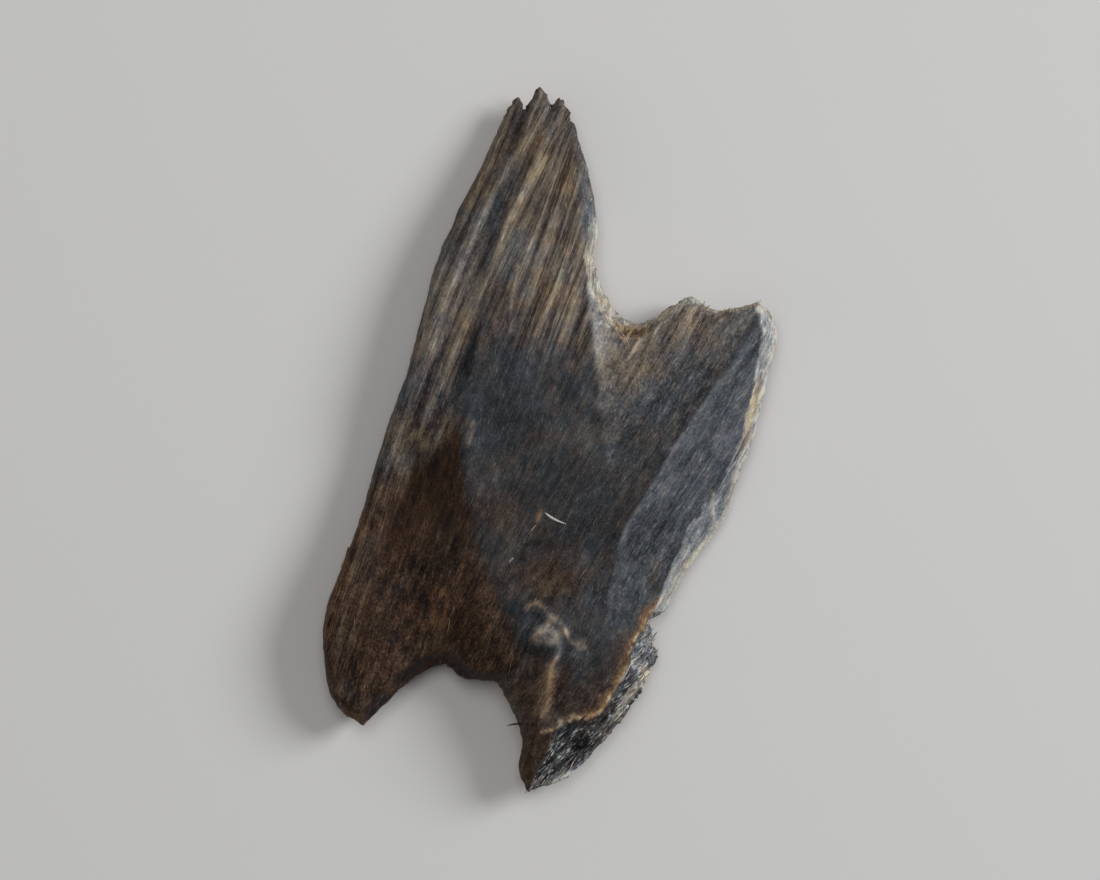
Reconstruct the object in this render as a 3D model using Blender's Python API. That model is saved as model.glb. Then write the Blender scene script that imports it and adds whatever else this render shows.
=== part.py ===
"""One chip of agarwood, lying on its split back, in metres with +Z up.

The chip is a flat flake of wood: a stem at the far end (+Y), a shoulder on the right (+X) with a notch
between the two, and at the near end (-Y) a lobe on the left and a foot on the right with an arch
between them. Its outline is a chain of smooth stretches that meet at corners. The outline, and the
lines along which the face bends, are filled with triangles and extruded into a slab. Each vertex of
the slab is then set on the face, on the wall or on the back, at a height worked out by formula.
"""
import bmesh
import bpy
import numpy as np
from mathutils import Vector
from mathutils.geometry import delaunay_2d_cdt

MM = 0.001

# Driving dimensions, in millimetres. The landmarks below belong to a chip of 20.0 by 31.1 by 3.6.
WIDTH = 20.0
LENGTH = 31.1
THICKNESS = 3.6
MESH_STEP = 0.5
WALL_ROWS = 2

# A slanted rim narrower than this gets no points of its own.
NARROW_RIM = 0.22

# Lean of the grain from the Y axis towards +X, in radians.
GRAIN_LEAN = 0.36

# Corners of the outline: x and y from the middle of the chip, and the width of the slanted rim there.
STEM_LEFT = (-2.0, 14.2, 0.15)
SPLINTER_1 = (-1.5, 15.2, 0.15)
SPLINTER_2 = (-0.46, 15.55, 0.15)
SPLINTER_3 = (0.42, 15.05, 0.15)
STEM_RIGHT = (0.95, 14.1, 0.15)
STEM_NECK = (1.85, 8.1, 0.35)
SHOULDER_PEAK = (6.25, 6.25, 0.3)
SHOULDER_NICK = (7.1, 5.65, 0.25)
SHOULDER_CORNER = (9.15, 6.04, 0.3)
HEEL_NICK = (4.95, -7.7, 0.35)
FOOT_TIP = (-1.0, -15.65, 0.2)
ARCH_CORNER = (-2.35, -10.75, 0.3)
LOBE_TIP = (-8.3, -12.75, 0.3)

# The smooth stretches of the outline, clockwise from above.
STRETCHES = [
    # splintered end of the stem
    [STEM_LEFT, SPLINTER_1],
    [SPLINTER_1, (-1.1, 14.55, 0.15), SPLINTER_2],
    [SPLINTER_2, (0.0, 14.7, 0.15), SPLINTER_3],
    [SPLINTER_3, STEM_RIGHT],
    # right side of the stem
    [STEM_RIGHT, (1.6, 11.9, 0.15), (2.0, 9.6, 0.3), STEM_NECK],
    # hollow of the notch and top of the shoulder
    [STEM_NECK, (2.15, 6.95, 0.45), (2.6, 5.95, 0.6), (3.25, 5.25, 0.8), (4.1, 5.08, 0.6),
     (5.05, 5.5, 0.35), SHOULDER_PEAK],
    [SHOULDER_PEAK, SHOULDER_NICK],
    [SHOULDER_NICK, (8.2, 5.7, 0.25), SHOULDER_CORNER],
    # right edge, down to the nick above the broken end
    [SHOULDER_CORNER, (9.7, 5.5, 0.5), (9.97, 4.5, 0.6), (9.66, 2.95, 0.55), (8.95, 0.3, 0.45),
     (8.15, -1.9, 0.5), (7.72, -3.4, 0.95), (6.95, -4.6, 0.95), (5.9, -5.9, 0.55),
     (5.4, -6.75, 0.4), HEEL_NICK],
    # broken end, down to the tip of the foot
    [HEEL_NICK, (4.45, -8.05, 0.3), (4.35, -8.75, 0.3), (4.6, -9.75, 0.3), (4.2, -10.75, 0.3),
     (3.25, -12.2, 0.3), (2.1, -13.65, 0.3), (1.05, -14.65, 0.2), (0.15, -15.25, 0.2), FOOT_TIP],
    # inner side of the foot
    [FOOT_TIP, (-1.3, -14.7, 0.15), (-1.2, -13.4, 0.2), (-1.6, -12.1, 0.25), ARCH_CORNER],
    # arch between the foot and the lobe
    [ARCH_CORNER, (-3.1, -10.7, 0.3), (-3.85, -10.62, 0.35), (-4.3, -10.2, 0.5), (-4.85, -10.02, 0.55),
     (-5.95, -10.5, 0.55), (-7.35, -11.75, 0.4), LOBE_TIP],
    # lobe and left edge, up to the stem
    [LOBE_TIP, (-9.05, -12.15, 0.2), (-9.7, -11.3, 0.2), (-9.97, -9.6, 0.15), (-9.93, -7.9, 0.15),
     (-9.15, -5.6, 0.15), (-8.35, -3.55, 0.15), (-7.45, -0.45, 0.15), (-6.75, 1.65, 0.15),
     (-6.15, 3.45, 0.15), (-5.7, 5.3, 0.15), (-5.0, 7.8, 0.15), (-4.1, 9.95, 0.15),
     (-3.05, 12.1, 0.15), STEM_LEFT],
]

# Lines along which the face bends. Each runs from the stem end towards the feet.
CREST = [(-1.1, 13.6), (-1.9, 10.0), (-2.8, 6.0), (-3.5, 2.6), (-3.75, -0.8), (-3.45, -3.1),
         (-2.85, -5.3), (-2.2, -7.2), (-1.6, -8.6)]
CREASE = [(1.85, 4.6), (2.0, 3.2), (2.12, 1.6), (2.2, 0.0)]
BEVEL = [(8.8, 4.7), (7.85, 3.2), (6.66, 1.45), (5.38, -0.6), (4.08, -2.7), (3.2, -4.2), (2.65, -6.3),
         (2.3, -8.8)]
BREAK = [(4.3, -8.05), (3.85, -8.8), (3.5, -9.65), (3.25, -10.5), (2.75, -11.4), (2.3, -12.15),
         (1.75, -12.5), (1.0, -12.6), (0.4, -12.78), (0.02, -13.15), (-0.15, -13.8), (-0.6, -14.7)]
RIB = [(0.15, -9.9), (-0.08, -10.6), (-0.28, -11.6), (-0.55, -12.6)]
KNOT = (-0.1, -8.85)
HOLLOW = (-0.75, -9.75)

# Height of the face along the chip, and of the back where it lifts towards its ends.
FACE_ALONG = [(-15.6, 2.7), (-12.5, 3.05), (-8.5, 3.3), (-3.0, 3.3), (2.0, 3.15), (6.0, 3.0),
              (10.0, 2.65), (15.6, 1.7)]
BACK_ALONG = [(-15.6, 0.75), (-13.0, 0.3), (-10.5, 0.0), (9.5, 0.0), (13.0, 0.25), (15.6, 0.6)]


def smooth_stretch(points, step):
    """Catmull-Rom curve through the points, sampled about every step, without its last point."""
    p = np.array(points, float)
    ends = np.vstack([2 * p[0] - p[1], p, 2 * p[-1] - p[-2]])
    samples = []
    for a, b, c, d in zip(ends[:-3], ends[1:-2], ends[2:-1], ends[3:]):
        count = max(1, round(float(np.hypot(*(c - b)[:2])) / step))
        t = (np.arange(count) / count)[:, None]
        samples.append(0.5 * (2 * b + (c - a) * t + (2 * a - 5 * b + 4 * c - d) * t ** 2
                              + (3 * b - a - 3 * c + d) * t ** 3))
    return np.vstack(samples)


def outline_ring(step):
    """Closed ring round the chip, clockwise: x, y, rim width and the inward direction at each point."""
    ring = np.vstack([smooth_stretch(s, step) for s in STRETCHES])
    run = np.roll(ring[:, :2], -1, 0) - np.roll(ring[:, :2], 1, 0)
    run /= np.hypot(run[:, 0], run[:, 1])[:, None]
    return np.column_stack([ring, run[:, 1], -run[:, 0]])


def inside(ring, x, y):
    """True where a point is inside the ring, by counting the sides that a ray to +X crosses."""
    ax, ay = ring[:, 0], ring[:, 1]
    bx, by = np.roll(ax, -1), np.roll(ay, -1)
    spans = (ay > y[:, None]) != (by > y[:, None])
    rise = np.where(by == ay, 1.0, by - ay)
    crossing = ax + (y[:, None] - ay) * (bx - ax) / rise
    return (spans & (x[:, None] < crossing)).sum(1) % 2 == 1


def nearest_on(line, x, y):
    """Distance to the nearest point of a line, and what the line's columns are there."""
    a, b = line[:-1], line[1:]
    run = b - a
    t = (x[:, None] - a[:, 0]) * run[:, 0] + (y[:, None] - a[:, 1]) * run[:, 1]
    t = np.clip(t / (run[:, 0] ** 2 + run[:, 1] ** 2), 0, 1)
    gap = np.hypot(x[:, None] - a[:, 0] - t * run[:, 0], y[:, None] - a[:, 1] - t * run[:, 1])
    k = gap.argmin(1)
    row = np.arange(len(x))
    return gap[row, k], a[k] + t[row, k][:, None] * run[k]


def right_of(points, x, y):
    """Signed distance to a line down the face: positive on its +X side, as if its ends ran on."""
    line = smooth_line(points)
    a, b = line[:-1], line[1:]
    run = b - a
    t = (x[:, None] - a[:, 0]) * run[:, 0] + (y[:, None] - a[:, 1]) * run[:, 1]
    t = t / (run ** 2).sum(1)
    low = np.where(np.arange(len(run)) == 0, -np.inf, 0.0)
    high = np.where(np.arange(len(run)) == len(run) - 1, np.inf, 1.0)
    t = np.clip(t, low, high)
    gap = np.hypot(x[:, None] - a[:, 0] - t * run[:, 0], y[:, None] - a[:, 1] - t * run[:, 1])
    k = gap.argmin(1)
    row = np.arange(len(x))
    cross = run[k, 0] * (y - a[k, 1]) - run[k, 1] * (x - a[k, 0])
    return np.sign(cross) * gap[row, k]


def smooth_line(points, step=0.5):
    """A line down the face as a smooth curve with both of its ends."""
    return np.vstack([smooth_stretch(points, step), points[-1]])


def ease(value):
    """Smooth rise from 0 to 1 while the value goes from 0 to 1."""
    t = np.clip(value, 0, 1)
    return t * t * (3 - 2 * t)


def across_grain(x, y):
    return x * np.cos(GRAIN_LEAN) - y * np.sin(GRAIN_LEAN)


def along_grain(x, y):
    return x * np.sin(GRAIN_LEAN) + y * np.cos(GRAIN_LEAN)


def mound(x, y, centre, across, along):
    """Rounded mound of height 1 whose long axis follows the grain."""
    u = across_grain(x - centre[0], y - centre[1])
    v = along_grain(x - centre[0], y - centre[1])
    return np.exp(-(u / across) ** 2 - (v / along) ** 2)


def face_height(x, y, gap):
    """Height of the front face; gap is the distance to the outline."""
    z = np.interp(y, *np.transpose(FACE_ALONG))
    z -= 0.5 * np.exp(-gap / 1.3)

    # left of the crest the stem slopes away, and lower down the face is scooped out
    left = -right_of(CREST, x, y)
    low_half = ease((2.6 - y) / 3.6)
    z -= 0.2 * (1 - low_half) * np.maximum(left, 0)
    soft = 2.8 + 2.2 * ease((-1.5 - y) / 4.0)
    z -= 1.15 * low_half * ease(left / soft) * (0.6 + 0.4 * ease((6.8 - left) / 4.5))
    z += (0.1 + 0.12 * low_half) * ease((y + 6.0) / 5.0) * np.exp(-np.abs(left) / 0.8)

    # right of the crease the shoulder lies lower than the stem
    past = right_of(CREASE, x, y)
    z -= 0.4 * ease(past / 0.9) * ease((y + 2.5) / 4.5) * ease((6.5 - past) / 5.0)
    z += 0.15 * np.exp(-np.abs(past) / 0.7) * ease((y - 1.0) / 3.0)

    # past the bevel line the face falls away to the right edge
    z -= 0.42 * np.maximum(right_of(BEVEL, x, y), 0) * ease((y + 10.5) / 3.0)

    # low ridges run down the stem with the grain
    ridges = np.sin(2.6 * across_grain(x, y) + 0.4 * np.sin(0.5 * y))
    z += 0.08 * ridges * ease((y + 1.0) / 6.0) * ease(gap / 0.8)

    # a knot with a hollow beside it, and the rib from it to the foot
    z += 0.28 * np.exp(-(np.hypot(x - KNOT[0], y - KNOT[1]) / 0.65) ** 2)
    z -= 0.24 * np.exp(-(np.hypot(x - HOLLOW[0], y - HOLLOW[1]) / 0.65) ** 2)
    rib = nearest_on(smooth_line(RIB), x, y)[0]
    z += 0.32 * np.exp(-rib / 0.4)

    # the broken end slopes from the break line out to the foot
    beyond = np.maximum(right_of(BREAK, x, y), 0)
    z -= 1.45 * beyond * ease((-6.4 - y) / 1.4) * (1 + 0.15 * np.sin(3.6 * y + 1.5 * x))
    return z


def back_height(x, y, gap):
    """Height of the split back: flat at 0, with long hollows and its edges and ends lifted."""
    z = np.interp(y, *np.transpose(BACK_ALONG))
    z += 0.9 * mound(x, y, (1.3, 0.5), 1.7, 5.5) + 0.6 * mound(x, y, (-6.6, -6.5), 1.1, 3.0)
    z += 0.35 * mound(x, y, (7.2, 1.0), 1.3, 3.5)
    z += 0.5 * np.exp(-gap / 0.45)
    return np.maximum(0.0, z - 0.14)


def place_on_chip(ring, x, y, level):
    """Moves slab points onto the chip: level 1 is the face, 0 the back, and between them the wall."""
    gap, near = nearest_on(np.vstack([ring, ring[:1]]), x, y)
    rim, inward = near[:, 2], near[:, 3:5]
    top = face_height(x, y, gap)
    low = back_height(x, y, gap)
    drop = (0.1 + 0.6 * rim) * (top - low)
    top = np.maximum(top - drop * (1 - np.minimum(gap / rim, 1)), low + 0.35)
    tuck = (0.35 * (1 - level) ** 2 - 0.12 * np.sin(np.pi * level)) * np.exp(-gap / 0.3)
    x = x + tuck * inward[:, 0]
    y = y + tuck * inward[:, 1]
    return x, y, low + (top - low) * level


def rim_line(ring):
    """Points where the slanted rim meets the face, left out where the outline folds over itself."""
    x, y = ring[:, 0] + ring[:, 2] * ring[:, 3], ring[:, 1] + ring[:, 2] * ring[:, 4]
    gap = nearest_on(np.vstack([ring, ring[:1]]), x, y)[0]
    keep = inside(ring, x, y) & (gap > 0.9 * ring[:, 2]) & (ring[:, 2] > NARROW_RIM)
    return np.column_stack([x, y])[keep]


def lattice(ring, lines, step):
    """Triangular lattice turned with the grain, inside the ring and clear of the ring and the lines."""
    reach = LENGTH * 0.6
    u = np.arange(-reach, reach, step)
    v = np.arange(-reach, reach, step * np.sqrt(3) / 2)
    u, v = np.meshgrid(u, v)
    u = (u + (np.arange(len(v)) % 2 * step / 2)[:, None]).ravel()
    v = v.ravel()
    x = u * np.cos(GRAIN_LEAN) + v * np.sin(GRAIN_LEAN)
    y = v * np.cos(GRAIN_LEAN) - u * np.sin(GRAIN_LEAN)
    clear = inside(ring, x, y)
    x, y = x[clear], y[clear]
    for line in [np.vstack([ring, ring[:1]])] + lines:
        clear = nearest_on(line, x, y)[0] > 0.6 * step
        x, y = x[clear], y[clear]
    return np.column_stack([x, y])


def filled_slab(ring, step):
    """Fills the outline with triangles and extrudes it from z = 0 to z = 1, with rows in its wall."""
    lines = [smooth_line(points, step) for points in (CREST, CREASE, BEVEL, BREAK, RIB)]
    rim = rim_line(ring)
    points = [ring[:, :2], rim] + lines
    points.append(lattice(ring, lines + [rim], step))
    sides = [(i, (i + 1) % len(ring)) for i in range(len(ring))]
    start = len(ring) + len(rim)
    for line in lines:
        sides += [(start + i, start + i + 1) for i in range(len(line) - 1)]
        start += len(line)
    flat = [Vector(p) for p in np.vstack(points)]
    verts, _, faces, _, _, _ = delaunay_2d_cdt(flat, sides, [], 0, 1e-5)
    slab = bmesh.new()
    for v in verts:
        slab.verts.new((v.x, v.y, 0.0))
    slab.verts.ensure_lookup_table()
    centres = np.array([np.mean([verts[i] for i in f], 0) for f in faces])
    for f, kept in zip(faces, inside(ring, centres[:, 0], centres[:, 1])):
        if kept:
            slab.faces.new([slab.verts[i] for i in f])
    grown = bmesh.ops.extrude_face_region(slab, geom=slab.faces[:], use_keep_orig=True)
    raised = [g for g in grown["geom"] if isinstance(g, bmesh.types.BMVert)]
    bmesh.ops.translate(slab, vec=(0, 0, 1), verts=raised)
    upright = [e for e in slab.edges if abs(e.verts[0].co.z - e.verts[1].co.z) > 0.5]
    bmesh.ops.subdivide_edges(slab, edges=upright, cuts=WALL_ROWS, use_grid_fill=True)
    bmesh.ops.triangulate(slab, faces=[f for f in slab.faces if len(f.verts) > 3])
    bmesh.ops.recalc_face_normals(slab, faces=slab.faces)
    return slab


def agarwood_material():
    """Resin-dark wood: grey brown and hardly glossy."""
    material = bpy.data.materials.new("resinous_agarwood")
    material.use_nodes = True
    shader = material.node_tree.nodes["Principled BSDF"]
    shader.inputs["Base Color"].default_value = (0.075, 0.055, 0.042, 1.0)
    shader.inputs["Roughness"].default_value = 0.62
    shader.inputs["Metallic"].default_value = 0.0
    return material


def agarwood_chip():
    """The chip as one closed solid, with the origin under the middle of its box."""
    ring = outline_ring(MESH_STEP)
    slab = filled_slab(ring, MESH_STEP)
    mesh = bpy.data.meshes.new("agarwood_chip")
    slab.to_mesh(mesh)
    slab.free()
    flat = np.zeros(len(mesh.vertices) * 3)
    mesh.vertices.foreach_get("co", flat)
    x, y, z = place_on_chip(ring, *flat.reshape(-1, 3).T)
    x = (x - (x.min() + x.max()) / 2) * WIDTH / (x.max() - x.min())
    y = (y - (y.min() + y.max()) / 2) * LENGTH / (y.max() - y.min())
    z = (z - z.min()) * THICKNESS / (z.max() - z.min())
    mesh.vertices.foreach_set("co", np.column_stack([x, y, z]).ravel() * MM)
    mesh.update()
    mesh.materials.append(agarwood_material())
    mesh.shade_smooth()
    mesh.set_sharp_from_angle(angle=np.radians(40))
    chip = bpy.data.objects.new("agarwood_chip", mesh)
    bpy.context.scene.collection.objects.link(chip)


def main():
    for old in list(bpy.data.objects):
        bpy.data.objects.remove(old)
    agarwood_chip()


main()
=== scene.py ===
"""Looks of the agarwood chip: its fine surface and raised fibres as meshes, its material, light and camera.

The chip's outline and its main relief repeat those of the solid. The mesh is a triangular lattice laid
along the grain and snapped to the outline, once for the face and once for the back, with rows of wall
between them. Lengths are in millimetres until a mesh is made.
"""

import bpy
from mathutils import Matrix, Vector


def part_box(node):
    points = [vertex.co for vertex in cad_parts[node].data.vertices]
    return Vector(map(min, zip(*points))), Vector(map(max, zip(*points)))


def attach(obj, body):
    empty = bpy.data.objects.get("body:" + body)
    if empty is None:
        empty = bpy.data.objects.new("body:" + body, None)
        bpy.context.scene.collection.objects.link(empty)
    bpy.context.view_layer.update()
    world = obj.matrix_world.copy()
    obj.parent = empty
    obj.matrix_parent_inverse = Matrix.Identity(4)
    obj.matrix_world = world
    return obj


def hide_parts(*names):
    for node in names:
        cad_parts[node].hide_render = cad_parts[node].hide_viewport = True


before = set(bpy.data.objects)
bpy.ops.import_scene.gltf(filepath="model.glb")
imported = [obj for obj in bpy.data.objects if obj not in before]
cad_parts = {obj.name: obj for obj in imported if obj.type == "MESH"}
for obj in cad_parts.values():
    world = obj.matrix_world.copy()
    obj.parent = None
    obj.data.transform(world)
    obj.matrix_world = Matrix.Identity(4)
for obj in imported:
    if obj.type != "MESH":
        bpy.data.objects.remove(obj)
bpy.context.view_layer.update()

import itertools
from functools import partial
from types import SimpleNamespace

import bpy
import numpy as np
from mathutils import Vector

MM = 0.001
CHIP_LOW, CHIP_HIGH = [np.array(corner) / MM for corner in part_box("agarwood_chip")]
CHIP_SIZE = CHIP_HIGH - CHIP_LOW
LENGTH = CHIP_SIZE[1]

# Spacing of the lattice across and along the grain, and of the outline's points, and rows in the wall.
STEP_ACROSS = 0.08
STEP_ALONG = 0.109
STEP_OUTLINE = 0.1
WALL_ROWS = 16

# Lean of the grain from the Y axis towards +X, in radians: in the middle, and on the broken end.
GRAIN_LEAN = 0.36
BROKEN_LEAN = 0.78

# Where the broken end and the foot begin, along the chip.
BROKEN_TOP = -7.6
FOOT_TOP = -9.3

# Corners of the outline: x and y from the middle of the chip, and the width of the slanted rim there.
STEM_LEFT = (-2.0, 14.2, 0.15)
SPLINTER_1 = (-1.5, 15.2, 0.15)
SPLINTER_2 = (-0.46, 15.55, 0.15)
SPLINTER_3 = (0.42, 15.05, 0.15)
STEM_RIGHT = (0.95, 14.1, 0.15)
STEM_NECK = (1.85, 8.1, 0.35)
SHOULDER_PEAK = (6.25, 6.25, 0.3)
SHOULDER_NICK = (7.1, 5.65, 0.25)
SHOULDER_CORNER = (9.15, 6.04, 0.3)
HEEL_NICK = (4.95, -7.7, 0.35)
FOOT_TIP = (-1.0, -15.65, 0.2)
ARCH_CORNER = (-2.35, -10.75, 0.3)
LOBE_TIP = (-8.3, -12.75, 0.3)

# The smooth stretches of the outline, clockwise from above.
STRETCHES = [
    # splintered end of the stem
    [STEM_LEFT, SPLINTER_1],
    [SPLINTER_1, (-1.1, 14.55, 0.15), SPLINTER_2],
    [SPLINTER_2, (0.0, 14.7, 0.15), SPLINTER_3],
    [SPLINTER_3, STEM_RIGHT],
    # right side of the stem
    [STEM_RIGHT, (1.6, 11.9, 0.15), (2.0, 9.6, 0.3), STEM_NECK],
    # hollow of the notch and top of the shoulder
    [STEM_NECK, (2.15, 6.95, 0.45), (2.6, 5.95, 0.6), (3.25, 5.25, 0.8), (4.1, 5.08, 0.6),
     (5.05, 5.5, 0.35), SHOULDER_PEAK],
    [SHOULDER_PEAK, SHOULDER_NICK],
    [SHOULDER_NICK, (8.2, 5.7, 0.25), SHOULDER_CORNER],
    # right edge, down to the nick above the broken end
    [SHOULDER_CORNER, (9.7, 5.5, 0.5), (9.97, 4.5, 0.6), (9.66, 2.95, 0.55), (8.95, 0.3, 0.45),
     (8.15, -1.9, 0.5), (7.72, -3.4, 0.95), (6.95, -4.6, 0.95), (5.9, -5.9, 0.55),
     (5.4, -6.75, 0.4), HEEL_NICK],
    # broken end, down to the tip of the foot
    [HEEL_NICK, (4.45, -8.05, 0.3), (4.35, -8.75, 0.3), (4.6, -9.75, 0.3), (4.2, -10.75, 0.3),
     (3.25, -12.2, 0.3), (2.1, -13.65, 0.3), (1.05, -14.65, 0.2), (0.15, -15.25, 0.2), FOOT_TIP],
    # inner side of the foot
    [FOOT_TIP, (-1.3, -14.7, 0.15), (-1.2, -13.4, 0.2), (-1.6, -12.1, 0.25), ARCH_CORNER],
    # arch between the foot and the lobe
    [ARCH_CORNER, (-3.1, -10.7, 0.3), (-3.85, -10.62, 0.35), (-4.3, -10.2, 0.5), (-4.85, -10.02, 0.55),
     (-5.95, -10.5, 0.55), (-7.35, -11.75, 0.4), LOBE_TIP],
    # lobe and left edge, up to the stem
    [LOBE_TIP, (-9.05, -12.15, 0.2), (-9.7, -11.3, 0.2), (-9.97, -9.6, 0.15), (-9.93, -7.9, 0.15),
     (-9.15, -5.6, 0.15), (-8.35, -3.55, 0.15), (-7.45, -0.45, 0.15), (-6.75, 1.65, 0.15),
     (-6.15, 3.45, 0.15), (-5.7, 5.3, 0.15), (-5.0, 7.8, 0.15), (-4.1, 9.95, 0.15),
     (-3.05, 12.1, 0.15), STEM_LEFT],
]

# Lines along which the face bends. Each runs from the stem end towards the feet.
CREST = [(-1.1, 13.6), (-1.9, 10.0), (-2.8, 6.0), (-3.5, 2.6), (-3.75, -0.8), (-3.45, -3.1),
         (-2.85, -5.3), (-2.2, -7.2), (-1.6, -8.6)]
BAND = [(-3.5, 1.5), (-5.0, -0.3), (-6.6, -2.0), (-7.6, -4.2), (-8.3, -6.4), (-9.0, -9.5)]
CREASE = [(1.85, 4.6), (2.0, 3.2), (2.12, 1.6), (2.2, 0.0)]
BEVEL = [(8.8, 4.7), (7.85, 3.2), (6.66, 1.45), (5.38, -0.6), (4.08, -2.7), (3.2, -4.2), (2.65, -6.3),
         (2.3, -8.8)]
BREAK = [(4.3, -8.05), (3.85, -8.8), (3.5, -9.65), (3.25, -10.5), (2.75, -11.4), (2.3, -12.15),
         (1.75, -12.5), (1.0, -12.6), (0.4, -12.78), (0.02, -13.15), (-0.15, -13.8), (-0.6, -14.7)]
RIB = [(0.15, -9.9), (-0.08, -10.6), (-0.28, -11.6), (-0.55, -12.6)]
KNOT = (-0.1, -8.85)
HOLLOW = (-0.75, -9.75)

# Height of the face along the chip, and of the back where it lifts towards its ends.
FACE_ALONG = [(-15.6, 2.7), (-12.5, 3.05), (-8.5, 3.3), (-3.0, 3.3), (2.0, 3.15), (6.0, 3.0),
              (10.0, 2.65), (15.6, 1.7)]
BACK_ALONG = [(-15.6, 0.75), (-13.0, 0.3), (-10.5, 0.0), (9.5, 0.0), (13.0, 0.25), (15.6, 0.6)]

# Seven fibres that guide the rest: where each is at four places along the chip, and its distance
# across the grain from the middle one. The fibres draw together in the stem and fan out to the right.
GUIDE_Y = (14.0, 5.0, -4.0, -13.0)
GUIDES = [(-7.3, (-5.2, -8.35, -11.3, -14.2)),
          (-3.3, (0.4, -3.8, -7.3, -10.2)),
          (-1.85, (1.15, -2.1, -5.7, -8.9)),
          (0.3, (2.9, 0.35, -3.2, -7.0)),
          (3.2, (8.0, 3.6, -1.2, -6.0)),
          (7.9, (14.6, 9.0, 3.4, -1.5)),
          (13.0, (20.5, 14.8, 9.0, 4.0))]

# Depth in the grain for each millimetre of height: bundles of fibres are deeper than they are wide.
DEPTH_SHARE = 0.6

# Streaks of the grain from coarse to fine: seed, width across the grain and length along it.
STREAKS = {"broad": (21, 0.95, 11.0), "middle": (23, 0.42, 8.0), "reed": (24, 0.21, 7.0),
           "fine": (25, 0.16, 3.0), "hair": (27, 0.1, 1.2)}

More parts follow.
